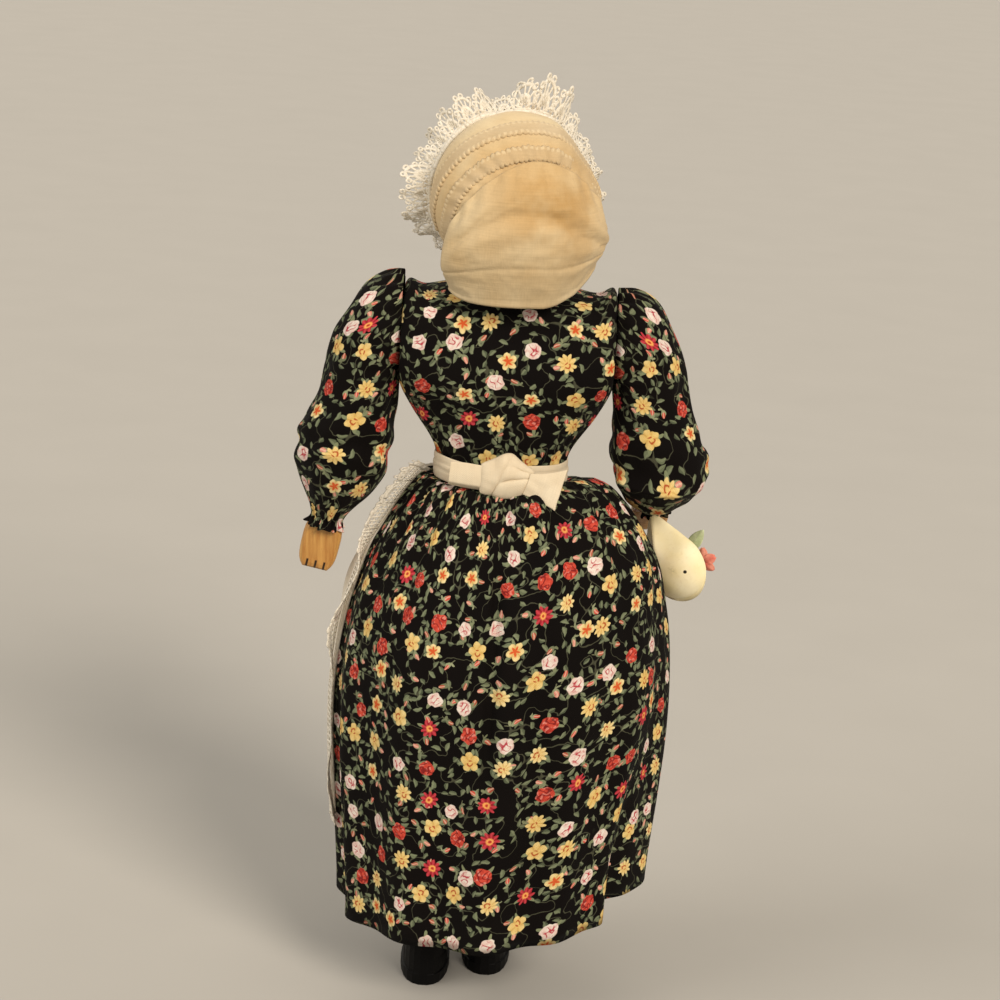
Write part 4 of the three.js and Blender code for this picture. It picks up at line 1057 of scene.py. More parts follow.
@dataclass
class Studio:
    """Pale floor, soft lights and the camera of the photograph's view."""

    target: tuple[float, float, float] = (-0.39, -0.61, 136.5)
    distance: float = 720.0
    elevation: float = 15.0
    roll: float = 3.5
    lens: float = 96.84
    sensor: float = 36.0
    clip: tuple[float, float] = (0.01, 100.0)
    floor_half: float = 15000.0
    suns: tuple[Sun, ...] = (
        Sun("key", (-0.7, 1.1, 0.8), 24.0, 2.8, "fff3e4"),
        Sun("fill", (1.1, 0.5, 0.7), 40.0, 1.2, "fff8f0"),
        Sun("front", (0.3, -1.2, 0.9), 40.0, 0.6, "fff4e6"),
    )
    sky: str = "efe9e0"
    sky_strength: float = 0.5

    def camera(self) -> None:
        """Puts the camera behind the doll, a little above it and slightly tilted."""
        rise, roll = radians(self.elevation), radians(self.roll)
        back = Vector((0.0, cos(rise), sin(rise)))
        right = (-back).cross(Vector((0.0, 0.0, 1.0))).normalized()
        up = right.cross(-back)
        side = right * cos(roll) + up * sin(roll)
        top = up * cos(roll) - right * sin(roll)
        data = bpy.data.cameras.new("view")
        data.lens = self.lens
        data.sensor_width = self.sensor
        data.clip_start, data.clip_end = self.clip
        eye = placed("view", data)
        spot = (AXIS + Vector(self.target) + back * self.distance) * MM
        eye.matrix_world = Matrix.Translation(spot) @ Matrix((side, top, back)).transposed().to_4x4()
        bpy.context.scene.camera = eye

    def build(self) -> None:
        """Makes the floor, the lights and the camera."""
        bm = bmesh.new()
        bmesh.ops.create_grid(bm, x_segments=2, y_segments=2, size=self.floor_half)
        floor = finish_mesh(bm, "floor", Matrix.Scale(MM, 4), smooth=False)
        floor.data.materials.append(PAPER.material())
        for sun in self.suns:
            sun.build()
        world = bpy.data.worlds.new("studio")
        world.use_nodes = True
        backdrop = world.node_tree.nodes["Background"]
        backdrop.inputs["Color"].default_value = paint(self.sky)
        backdrop.inputs["Strength"].default_value = self.sky_strength
        bpy.context.scene.world = world
        bpy.context.scene.view_settings.view_transform = "Standard"
        self.camera()


# The dress


@dataclass(frozen=True)
class Crease:
    """One fold that runs down the skirt, fading in and out over shares of the way to the hem.

    Ends past 1, as by default, let it run on through the hem.
    """

    angle: float
    width: float
    stand: float
    begins: tuple[float, float]
    ends: tuple[float, float] = (2.0, 3.0)

    def height(self, angle: float, drop: float) -> float:
        """Returns how far the fold stands out towards an angle, at a share of the way to the hem."""
        shown = ramp(drop, *self.begins) * (1 - ramp(drop, *self.ends))
        return self.stand * bell(angle, self.angle, self.width) * shown


@dataclass
class Skirt:
    """The gathered skirt, a wide bell that hangs from under the sash."""

    waist: tuple[float, float] = (17.0, 14.0)
    reach_left: float = 42.5
    reach_back: float = 39.0
    reach_right: float = 49.5
    reach_front: float = 36.0
    flare_depth: float = 22.6
    flare_depth_right: float = 15.7
    tuck: float = 4.0
    top: float = 142.72
    hem: float = 26.0
    hem_dip_left: float = 3.0
    hem_dip_back: float = 3.5
    folds: int = 12
    fold_depth: float = 1.5
    gathers: int = 32
    gather_depth: float = 1.25
    gather_fade: float = 0.14
    run_depth: float = 0.8
    run_fade: float = 0.42
    creases: tuple[Crease, ...] = (
        Crease(1.60, 0.04, -2.4, (0.06, 0.2), (0.5, 0.8)),
        Crease(1.70, 0.07, 1.2, (0.06, 0.2), (0.5, 0.85)),
        Crease(2.32, 0.15, 1.6, (0.4, 0.95)),
        Crease(2.60, 0.11, -4.4, (0.4, 0.95)),
        Crease(2.95, 0.2, 2.4, (0.4, 0.95)),
    )
    puff: float = 6.5
    puff_lift: float = 4.6
    puff_angle: float = 150.0
    hem_turn: float = 5.0
    hem_hitch: float = 4.0
    hem_share: float = 0.05
    fall_power: float = 1.6
    flat: tuple[float, float] = (276.0, 138.0)
    grid: tuple[int, int] = (460, 60)

    def hem_height(self, angle: float) -> float:
        """Returns the height of the hem towards an angle."""
        return self.hem - self.hem_dip_left * cos(angle) - self.hem_dip_back * sin(angle)

    def hitch(self, angle: float) -> float:
        """Returns how much the hem is caught up beside the fold at the doll's right."""
        return self.hem_hitch * ramp(angle, 2.46, 2.58) * (1 - ramp(angle, 3.1, 3.7))

    def point(self, angle: float, drop: float, off: float) -> Vector:
        """Returns a point of the unfolded skirt.

        Args:
            angle: Angle round the doll, 0 at its left and a quarter turn at its back.
            drop: Share of the way from waist to hem.
            off: Distance off the skirt, outwards.

        Returns:
            The point.
        """
        across = self.reach_left if cos(angle) > 0 else self.reach_right
        deep = self.reach_back if sin(angle) > 0 else self.reach_front
        rightwards = ramp(-cos(angle), 0, 1)
        hem = self.hem_height(angle)
        roundness = (self.top - hem) / lerp(self.flare_depth, self.flare_depth_right, rightwards)
        fullness = 1 - max(1 - drop, 0.0) ** roundness
        x = lerp(self.waist[0], across, fullness) - self.tuck * ramp(drop, 0.45, 1) + off
        y = lerp(self.waist[1], deep, fullness) + off
        return polar(angle, x, y, lerp(self.top, hem, drop))

    def fold(self, angle: float, drop: float) -> float:
        """Returns how far the folds stand off the unfolded skirt."""
        wave = cos(self.folds * angle + 0.9 * sin(3 * angle))
        broad = self.fold_depth * ramp(drop, 0.05, 0.7) * wave - self.fold_depth * drop
        phase = self.gathers * angle + 2.2 * rough_round(angle, 2.0, 4.0)
        uneven = 0.75 + 0.6 * rough_round(angle, 7, 1.5)
        gather = self.gather_depth * uneven * exp(-drop / self.gather_fade) * cos(phase)
        run = self.run_depth * uneven * exp(-drop / self.run_fade) * cos(0.5 * phase + 1.3)
        creep = 0.6 * rough_round(angle, 5, 3.0 * drop)
        creases = sum(crease.height(angle, drop) for crease in self.creases)
        return broad + gather + run + creases + creep

    def hip(self, angle: float) -> float:
        """Returns 1 where the skirt puffs out most over the hip, falling to 0 around it."""
        return max(cos(angle - radians(self.puff_angle)), 0.0) ** 4

    def lift(self, angle: float, drop: float) -> float:
        """Returns how far the gathers rise above the waist seam before they fall."""
        rise = 1.4 + 1.5 * max(cos(angle), 0.0) + self.puff_lift * self.hip(angle)
        return rise * ramp(drop, 0, 0.02) * (1 - ramp(drop, 0.02, 0.14))

    def surface(self, u: float, v: float) -> Vector:
        """Returns a point of the folded skirt with its turned-up hem."""
        angle = u * TURN - TURN / 4
        drop = min(v / (1 - self.hem_share), 1.0) ** self.fall_power
        turned = max(v - 1 + self.hem_share, 0.0) / self.hem_share
        stand = self.puff * self.hip(angle) * ramp(drop, 0, 0.035) * (1 - ramp(drop, 0.06, 0.3))
        off = self.fold(angle, drop) + stand - 0.85 * min(turned * 4, 1.0)
        spot = self.point(angle, drop, off)
        spot.z += self.lift(angle, drop) + self.hem_turn * max(turned - 0.1, 0.0)
        spot.z += 0.7 * drop * cos(5 * angle + 1.0)
        spot.z += self.hitch(angle) * ramp(drop, 0.75, 1.0)
        return spot

    def build(self) -> None:
        """Makes the skirt."""
        piece = woven("calico_skirt", self.grid, self.surface, self.flat[0], joined=True)
        thicken(piece, DRESS_CLOTH)
        settle(piece, CALICO, Body.TORSO, "dress_skirt")
        cut_flat(self.flat, Held.GATHERED)


@dataclass
class Bodice:
    """The fitted bodice from waist to neck, with its centre-back seam and narrow collar."""

    armhole: float = 27.95
    stations: tuple[tuple[float, float, float], ...] = (
        (17.0, 14.0, 144.0), (17.0, 14.0, 150.0), (24.2, 16.6, 161.0), (29.6, 18.0, 173.0),
        (30.5, 15.3, 184.0), (26.5, 11.8, 191.5), (17.0, 9.6, 195.0), (8.6, 8.5, 196.2),
    )
    shoulder_rise: float = 5.0
    flat: tuple[float, float] = (150.0, 62.0)
    flat_area: float = 8200.0
    grid: tuple[int, int] = (200, 64)
    collar_radius: float = 8.1
    collar_roll: float = 0.5
    collar_height: float = 2.0
    collar_middle: float = 197.3
    collar_grid: tuple[int, int] = (64, 16)
    collar_length: float = 52.0

    def surface(self, u: float, v: float) -> Vector:
        """Returns a point of the bodice."""
        angle = u * TURN + TURN / 4
        wide, deep, z = along(self.stations, v)
        pull = 0.8 * exp(-(v / 0.16)) * cos(23 * angle + 2 * sin(3 * angle))
        crumple = 0.55 * rough_round(angle, 3.2, 5 * v)
        strain = 0.35 * cos(9 * v * pi + 3 * cos(angle)) * abs(cos(angle)) ** 3
        turn = min(u, 1 - u) * TURN
        seam = -0.7 * bell(turn, 0.0, 0.035) + 0.25 * bell(turn, 0.07, 0.04)
        off = (pull + crumple + strain) * min(1.0, 4 * (1 - v)) + seam * min(1.0, 5 * (1 - v))
        square = 2 / lerp(2.0, 3.4, ramp(z, 162, 174) * (1 - ramp(z, 189, 195)))
        across = copysign(abs(cos(angle)) ** square, cos(angle))
        backwards = copysign(abs(sin(angle)) ** square, sin(angle))
        x = max(-self.armhole, min(self.armhole, (wide + off) * across))
        raised = self.shoulder_rise * bell(abs(x), 28.0, 3.4) * ramp(z, 185, 191)
        return Vector((x, (deep + off) * backwards, z + raised))

    def collar(self, u: float, v: float) -> Vector:
        """Returns a point of the narrow rolled neck band."""
        angle, around = u * TURN, v * TURN
        radius = self.collar_radius + self.collar_roll * cos(around)
        return polar(angle, radius, radius, self.collar_middle + 0.5 * self.collar_height * sin(around))

    def build(self) -> None:
        """Makes the bodice and the collar."""
        piece = woven("calico_bodice", self.grid, self.surface, self.flat[0], joined=True, fitted=True)
        thicken(piece, DRESS_CLOTH)
        settle(piece, CALICO, Body.TORSO, "dress_bodice")
        cut_flat(self.flat, Held.STRETCHED, self.flat_area)
        collar = woven("calico_collar", self.collar_grid, self.collar, self.collar_length, joined=True)
        settle(collar, CALICO, Body.TORSO, "dress_collar")


@dataclass
class Sleeve:
    """One long full sleeve: puffed cap, full elbow and gathered wrist, in one cloth."""

    label: str
    side: int
    bend: float
    splay: float
    armhole: float = 28.0
    shoulder: float = 184.0
    armpit_drop: float = 12.0
    upper_length: float = 35.0
    elbow_out: float = 13.8
    puff: float = 12.6
    cap_reach: float = 26.0
    seam_reach: float = 25.0
    wrist: float = 4.3
    forearm: float = 20.5
    cuff: float = 2.4
    cap_end: float = 0.40
    elbow_at: float = 0.68
    seam_depth: float = 9.4
    cap_depth: float = 11.4
    cap_line: tuple[tuple[float, float], ...] = ((23.8, 12.2), (20.4, 12.4), (19.6, 12.1), (19.7, 11.7))
    upper_line: tuple[tuple[float, ...], ...] = (
        (9.85, -12.0, 9.85, 11.7), (11.0, -20.0, 10.5, 11.6), (12.9, -28.0, 12.1, 12.3))
    forearm_line: tuple[tuple[float, float], ...] = ((4.6, 12.2), (9.2, 10.5), (13.6, 7.9), (17.4, 5.6))
    flat: tuple[float, float] = (70.0, 78.0)
    flat_radius: float = 11.0
    flat_slack: float = 1.08
    grid: tuple[int, int] = (120, 110)
    blend_above: float = 8.0
    blend_below: float = 9.0

    def turn(self, share: float) -> Matrix:
        """Returns how far the forearm has turned at a share of its bend."""
        lean = Matrix.Rotation(-radians(self.bend) * share, 3, "X")
        return lean @ Matrix.Rotation(-radians(self.splay) * share * self.side, 3, "Y")

    def elbow(self) -> Vector:
        """Returns the middle of the elbow, from the armhole's place at the shoulder."""
        return Vector((self.elbow_out, 0.0, -self.upper_length))

    def ring(self, v: float) -> tuple[Vector, Vector, Vector, float, float]:
        """Gives the sleeve's cross section.

        Args:
            v: Share of the way from armhole to cuff.

        Returns:
            Its middle, its outward and depthwise directions, and its half width and half depth. The
            doll's left sleeve is described; the right one is its mirror image.
        """
        deep_way = Vector((0.0, 1.0, 0.0))
        if v < self.cap_end:
            share = v / self.cap_end
            swing = share * TURN / 4
            reach, deep = along([(self.cap_reach, self.cap_depth), *self.cap_line], share)
            opened = ramp(share, -0.03, 0.13)
            reach, deep = lerp(self.seam_reach, reach, opened), lerp(self.seam_depth, deep, opened)
            out = Vector((sin(swing), 0.0, cos(swing)))
            return Vector((0.0, 0.0, -self.armpit_drop)) + out * reach / 2, out, deep_way, reach / 2, deep
        if v < self.elbow_at:
            share = (v - self.cap_end) / (self.elbow_at - self.cap_end)
            at_elbow = (self.elbow_out, -self.upper_length, self.puff, self.puff)
            x, z, wide, deep = along([*self.upper_line, at_elbow], share)
            tilt = self.turn(0.5 * ramp(share, 0.55, 1.0))
            return Vector((x, 0.0, z)), tilt @ Vector((1.0, 0.0, 0.0)), tilt @ deep_way, wide, deep
        share = (v - self.elbow_at) / (1 - self.elbow_at)
        run, radius = along([
            (0.0, self.puff), *self.forearm_line, (self.forearm - 0.3, self.wrist),
            (self.forearm + 0.9, self.wrist + 0.1), (self.forearm + self.cuff, self.wrist + 1.0)], share)
        tilt = self.turn(lerp(0.5, 1.0, ramp(share, 0.0, 0.42)))
        middle = self.elbow() + self.turn(1.0) @ Vector((0.0, 0.0, -run))
        return middle, tilt @ Vector((1.0, 0.0, 0.0)), tilt @ deep_way, radius, radius

    def cap_outline(self, height: float) -> float:
        """Returns how far out the cap's ridge lies at a height above the shoulder."""
        low, high = 0.0, self.cap_end
        for _ in range(14):
            middle, out, _, wide, _ = self.ring(0.5 * (low + high))
            ridge = middle + out * wide
            low, high = (0.5 * (low + high), high) if ridge.z > height else (low, 0.5 * (low + high))
        return ridge.x

    def cloth(self, u: float, v: float) -> tuple[float, float]:
        """Returns the place on the flat cloth, measured from the sleeve's outer side and its top."""
        around = (u * 2 - 1) * pi
        middle, out, _, wide, _ = self.ring(v)
        if v > self.elbow_at:
            run = (middle - self.elbow()).length
            return around * self.flat_radius, self.flat_slack * self.upper_length + run
        spot = middle + out * wide * cos(around)
        if v > self.cap_end:
            return around * self.flat_radius, -self.flat_slack * spot.z
        half = max(0.5 * self.cap_outline(spot.z), 0.5)
        across = max(-1.0, min(1.0, spot.x / half - 1))
        seamward = acos(max(across, 0.0)) + max(-across, 0.0)
        turn = lerp(seamward, acos(across), ramp(v, 0.25, self.cap_end))
        narrowed = self.flat_radius * min(1.0, 0.45 + (14.0 - spot.z) / 30.0)
        return copysign(turn, around) * narrowed, -self.flat_slack * spot.z

    def wrinkle(self, around: float, v: float) -> float:
        """Returns how far the sleeve's gathers and creases stand out."""
        upper = ramp(cos(around), -0.5, 0.3)
        wander = 1.2 * rough_round(around, 3, 8 * v + self.side)
        cap = 0.6 * exp(-v / 0.07) * upper * cos(17 * around + wander)
        slack = 1.05 * rough(1.9 * cos(around), 1.9 * sin(around) + 3 * self.side, 7 * v)
        crook = 0.6 * bell(v, 0.66, 0.09) * cos(60 * v + 3 * sin(around) + wander)
        gather = 0.9 * ramp(v, 0.78, 0.93) * cos(14 * around + 0.6 * wander)
        frill = 0.5 * ramp(v, 0.955, 1.0) * cos(9 * around + wander)
        loose = slack * min(1.0, 6 * v) * (1 - ramp(v, 0.8, 0.95))
        return cap + loose + crook - 0.25 * abs(gather) + 0.6 * gather + frill

    def surface(self, u: float, v: float) -> Vector:
        """Returns a point of the sleeve."""
        around = u * TURN + TURN / 2
        middle, out, deep_way, wide, deep = self.ring(v)
        off = self.wrinkle(around, v)
        spot = middle + out * (wide + off) * cos(around) + deep_way * (deep + off) * sin(around)
        spot.x = max(spot.x, 0.1)
        return Vector((self.side * (self.armhole + spot.x), spot.y, self.shoulder + spot.z))

    def build(self) -> None:
        """Makes the sleeve, which rides on no body."""
        piece = woven(f"calico_{self.label}_sleeve", self.grid, self.surface, self.flat[0], joined=True,
                      measure=self.cloth)
        thicken(piece, DRESS_CLOTH)
        settle(piece, CALICO, None, f"{self.label}_upper_sleeve", f"{self.label}_lower_sleeve")
        cut_flat(self.flat, Held.GATHERED)
        elbow = JOINTS[f"{self.label}_elbow_bend"]
        run = self.turn(1.0) @ Vector((0.0, 0.0, -self.blend_below))
        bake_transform(piece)


# Apron, sash and lace


@dataclass
class LaceStrip:
    """Cotton lace of flat threads: a ladder along its head, open fans and a row of picot loops."""

    units: int
    unit_length: float = 7.0
    width: float = 5.0
    thread: float = 0.34
    rungs: int = 5
    spokes: int = 7
    picots: int = 6
    head: float = 0.16
    band: float = 0.07
    ribs: int = 0
    thickness: float = 0.35

    def ribbon(self, bm: Mesh, line: Callable[[float], Vector], steps: int, wide: float) -> None:
        """Adds one flat thread to a mesh.

        Args:
            bm: The mesh.
            line: Gives the thread's middle at a share of its length.
            steps: Faces along it.
            wide: Its width.
        """
        for vert in bmesh.ops.create_grid(bm, x_segments=1, y_segments=steps, size=0.5)["verts"]:
            share, side = vert.co.y + 0.5, vert.co.x
            way = line(share + 0.01) - line(share - 0.01)
            vert.co = line(share) + Vector((-way.y, way.x, 0.0)).normalized() * side * wide

    def fan(self, angle: float, share: float) -> Vector:
        """Returns a point of the unit's fan at an angle and a share of its reach."""
        middle = Vector((0.5 * self.unit_length, self.head * self.width, 0.0))
        return middle + polar(
            angle, 0.47 * self.unit_length * share, (0.86 - self.head) * self.width * share, 0.0)

    def unit(self, bm: Mesh) -> None:
        """Adds one unit of the lace, flat, its length along x and its width along y."""
        long, wide, thin = self.unit_length, self.width, self.thread
        top = self.head * wide
        band = self.band * wide
        lengthwise = [(0.5 * band, band), (top, thin)]
        lengthwise += [(lerp(band, top, (k + 1) / (self.ribs + 1)), thin) for k in range(self.ribs)]
        for y, across in lengthwise:
            self.ribbon(bm, lambda t, y=y: Vector((t * long, y, 0.0)), 6, across)
        for k in range(self.rungs):
            x = (k + 0.5) * long / self.rungs
            self.ribbon(bm, lambda t, x=x: Vector((x, t * top, 0.0)), 1, thin)
        for k in range(self.spokes):
            angle = pi * (k + 0.5) / self.spokes
            self.ribbon(bm, lambda t, angle=angle: self.fan(angle, lerp(0.2, 1.0, t)), 3, thin)
        for share, wide_arc in ((0.22, thin), (0.55, 2.4 * thin), (1.0, 1.7 * thin)):
            self.ribbon(bm, lambda t, share=share: self.fan(t * pi, share), 14, wide_arc)
        for k in range(self.picots):
            middle = self.fan(pi * (k + 0.5) / self.picots, 1.0 + 0.55 / (0.7 * wide))
            self.ring(bm, middle, 0.62)
        self.ribbon(bm, lambda t: Vector((0.0, lerp(top, 0.46 * wide, t), 0.0)), 2, thin)
        self.ring(bm, Vector((0.0, 0.52 * wide, 0.0)), 0.55)

    def ring(self, bm: Mesh, middle: Vector, radius: float) -> None:
        """Adds one small loop of thread."""
        self.ribbon(bm, lambda t: middle + polar(t * TURN, radius, radius, 0.0), 9, self.thread)

    def build(self, name: str, place: Place, to_row: Matrix = IN_ROW) -> Piece:
        """Makes the strip.

        Args:
            name: Name of the piece.
            place: Gives the point for a share of the length and a share of the width.
            to_row: Matrix from the frame of those points to the row frame.

        Returns:
            The lace.
        """
        bm = bmesh.new()
        self.unit(bm)
        pattern = whole(bm)
        for k in range(1, self.units):
            made = bmesh.ops.duplicate(bm, geom=pattern)["geom"]
            verts = [item for item in made if isinstance(item, bmesh.types.BMVert)]
            bmesh.ops.translate(bm, verts=verts, vec=(k * self.unit_length, 0.0, 0.0))
        length = self.units * self.unit_length
        for vert in bm.verts:
            vert.co = place(vert.co.x / length, vert.co.y / self.width)
        return thicken(finish_mesh(bm, name, to_row), self.thickness, 0.0)


@dataclass
class Apron:
    """The apron over the front and left of the skirt, its lace, and the sash tied behind."""

    skirt: Skirt
    left_angle: float = 4.0
    right_angle: float = -130.0
    waist_spread: float = 0.85
    bottom: float = 46.0
    standoff: float = 1.3
    flat: tuple[float, float] = (112.0, 102.0)
    grid: tuple[int, int] = (110, 70)
    cloth: float = 0.35
    lace_width: float = 5.0
    lace_flat: tuple[float, float] = (288.0, 11.5)
    lace_area: float = 2700.0
    scallops: int = 40
    sash_width: float = 6.6
    sash_bottom: float = 143.02
    sash_flat: tuple[float, float] = (112.0, 10.5)
    sash_area: float = 820.0
    sash_grid: tuple[int, int] = (120, 14)
    knot_x: float = -1.7
    knot_y: float = 15.9
    knot_grid: tuple[int, int] = (26, 22)
    knot_cloth: float = 0.8

    def point(self, across: float, down: float, off: float) -> Vector:
        """Returns a point of the apron, across from its right edge and down from its waist."""
        drop = max(down, 0.0) ** self.skirt.fall_power
        spread = lerp(self.waist_spread, 1.0, ramp(drop, 0, 0.35))
        middle = radians((self.left_angle + self.right_angle) / 2)
        half = radians(self.left_angle - self.right_angle) / 2
        angle = middle + (across * 2 - 1) * half * spread
        hem = self.skirt.hem_height(angle)
        share = (self.skirt.top - self.bottom) / (self.skirt.top - hem)
        gather = 0.5 * exp(-drop / 0.09) * cos(44 * across * pi)
        fold = 0.7 * ramp(drop, 0.1, 0.8) * cos(across * 21 + 1.5 * rough(3 * across, 2 * drop))
        billow = 1.9 * bell(across, 0.93, 0.05) * bell(down, 0.46, 0.11)
        over_gathers = 1.7 * exp(-drop / 0.16) * ramp(drop, 0.0, 0.02)
        free = self.standoff + gather + max(fold, -0.3) + billow + over_gathers
        lying = 0.45 + max(self.skirt.fold(angle, drop * share), -0.6)
        spot = self.skirt.point(angle, drop * share, lerp(free, lying, ramp(across, 0.9, 1.0)) + off)
        spot.z += self.skirt.lift(angle, drop * share)
        return spot

    def edge(self, s: float, t: float) -> Vector:
        """Returns a point of the lace that runs down one side, along the foot and up the other."""
        side = self.scallops * 0.3
        foot = self.scallops - 2 * side
        count = s * self.scallops
        scallop = 0.86 + 0.14 * abs(sin(count * pi))
        width = self.lace_width / (self.skirt.reach_front + self.skirt.reach_left)
        out = lerp(-0.4, 0.6 * scallop, t) * width
        across = min(max((count - side) / foot, 0.0), 1.0)
        down = min(count, self.scallops - count, side) / side
        sideways = ramp(abs(across - 0.5), 0.44, 0.5) * copysign(1.0, across - 0.5)
        downwards = ramp(down, 0.9, 1)
        ripple = 0.25 * t * sin(count * TURN * 0.5)
        stands = 4.4 * (1 - ramp(down, 0.36, 0.46))
        stands += 3.6 * bell(down, 0.60, 0.09) + 1.6 * bell(down, 0.92, 0.05)
        leftwards = max(sideways, 0.0)
        flare = t * leftwards * stands
        spot = self.point(across + sideways * out, down + downwards * out * 0.6, 0.5 + ripple + flare)
        spot.z += 3.6 * t * leftwards * (1 - ramp(down, 0.0, 0.14))
        return spot

    def band(self, u: float, v: float) -> Vector:
        """Returns a point of the sash round the waist, with two soft lengthwise creases."""
        angle = u * TURN
        crease = -0.35 * bell(v, 0.36 + 0.08 * sin(3 * angle), 0.07) - 0.3 * bell(v, 0.7, 0.06)
        swell = 0.35 * sin(pi * v) + 0.2 * rough_round(angle, 3, 2 * v)
        z = self.sash_bottom + self.sash_width * v + 0.25 * sin(4 * angle)
        off = 0.75 + swell + crease
        return polar(angle, self.skirt.waist[0] + off, self.skirt.waist[1] + off, z)

    def patch(
        self, low: list[tuple[float, float]], high: list[tuple[float, float]], lift: Place,
    ) -> Place:
        """Lays a folded patch of the sash between a lower and an upper outline.

        Args:
            low: Points of its lower outline in x and z, from the knot's middle.
            high: Points of its upper outline.
            lift: Gives how far it stands off the sash, as the y of a vector.

        Returns:
            The patch's surface.
        """
        def place(u: float, v: float) -> Vector:
            """Returns a point of the patch."""
            foot, head = along(low, u), along(high, u)
            x, z = lerp(foot[0], head[0], v), lerp(foot[1], head[1], v)
            middle = self.sash_bottom + self.sash_width / 2
            return Vector((self.knot_x + x, self.knot_y, middle + z)) + lift(u, v)

        return place

    def tie(self) -> None:
        """Makes the knot and its two stubby tails."""
        def knot_lift(u: float, v: float) -> Vector:
            """Returns the knot's swell, creased towards its right tail."""
            swell = 2.4 * (sin(pi * u) * sin(pi * v)) ** 0.5
            crease = -1.0 * bell(v - 0.42 - 0.55 * (u - 0.5), 0.0, 0.045) * ramp(u, 0.3, 0.6)
            second = -0.7 * bell(v - 0.74 - 0.3 * (u - 0.5), 0.0, 0.04) * ramp(u, 0.4, 0.7)
            tuck = -0.9 * bell(u - 0.22 - 0.35 * v, 0.0, 0.045) * (1 - 0.6 * v)
            ridge = 0.7 * bell(u - 0.52 + 0.1 * v, 0.0, 0.12) * ramp(v, 0.3, 0.9)
            return Vector((0.0, swell + crease + second + tuck + ridge + 0.15 * rough(5 * u, 5 * v), 0.0))

        def left_lift(u: float, v: float) -> Vector:
            """Returns the left tail's lie, flat with a folded lower edge."""
            return Vector((0.0, 0.9 + 0.5 * sin(pi * v) - 1.6 * ramp(v, 0.22, 0.0) - 0.8 * u, 0.0))

        def right_lift(u: float, v: float) -> Vector:
            """Returns the right tail's lie, turned over at its end."""
            stands = 3.6 * u * u * (1 - v) ** 2 - 0.8 * u * u * v
            return Vector((0.0, 1.1 + 0.5 * sin(pi * v) + stands + 0.3 * rough(3 * u, 3 * v), 0.0))

        parts = [
            ("sash_knot_cloth", "sash_knot", knot_lift, (15.0, 12.0),
             [(6.4, -3.4), (3.4, -3.9), (0.8, -4.5), (-2.4, -4.0), (-5.8, -2.6)],
             [(6.4, 4.0), (3.2, 5.4), (-0.3, 7.2), (-3.6, 4.9), (-7.0, 2.6)]),
            ("sash_left_tail", "sash_tail_left", left_lift, (10.0, 10.0),
             [(5.6, -3.4), (10.2, -3.1), (15.2, -2.5)], [(6.4, 3.8), (10.6, 4.2), (14.8, 4.3)]),
            ("sash_right_tail", "sash_tail_right", right_lift, (10.0, 10.5),
             [(-4.6, -2.9), (-9.0, -4.7), (-13.2, -6.4)], [(-6.2, 2.4), (-10.8, 2.8), (-15.8, 4.0)]),
        ]
        for name, node, lift, flat, low, high in parts:
            piece = woven(name, self.knot_grid, self.patch(low, high, lift), flat[0])
            rounded(thicken(piece, self.knot_cloth, 1.0))
            settle(piece, SASH_COTTON, Body.TORSO, node)
            cut_flat(flat, Held.FOLDED)

    def build(self) -> None:
        """Makes the apron, its lace and the sash."""
        panel = woven("apron_cloth", self.grid, lambda u, v: self.point(u, v, 0.0), self.flat[0])
        thicken(panel, self.cloth, 1.0)
        settle(panel, APRON_COTTON, Body.TORSO, "apron_panel")
        cut_flat(self.flat, Held.GATHERED)
        strip = LaceStrip(self.scallops, unit_length=7.2, width=self.lace_width, picots=4,
                          head=0.66, band=0.1, ribs=2, rungs=7, spokes=5)
        lace = strip.build("apron_lace_edging", self.edge)
        settle(lace, LACE_THREAD, Body.TORSO, "apron_lace")
        cut_flat(self.lace_flat, Held.GATHERED, self.lace_area)
        band = woven("sash_band_cloth", self.sash_grid, self.band, self.sash_flat[0], joined=True)
        thicken(band, self.cloth)
        settle(band, SASH_COTTON, Body.TORSO, "sash_band")
        cut_flat(self.sash_flat, Held.FOLDED, self.sash_area)
        self.tie()


# Head and bonnet


@dataclass
class HeadFrame:
    """The head's own frame: the height of its middle and its turn about the neck."""

    height: float = 218.0
    turn: float = 15.0

    def matrix(self) -> Matrix:
        """Returns the matrix from the head's own millimetres to the row frame."""
        spin = Matrix.Rotation(radians(self.turn), 4, "Z")
        return IN_ROW @ Matrix.Translation((0.0, 0.0, self.height)) @ spin


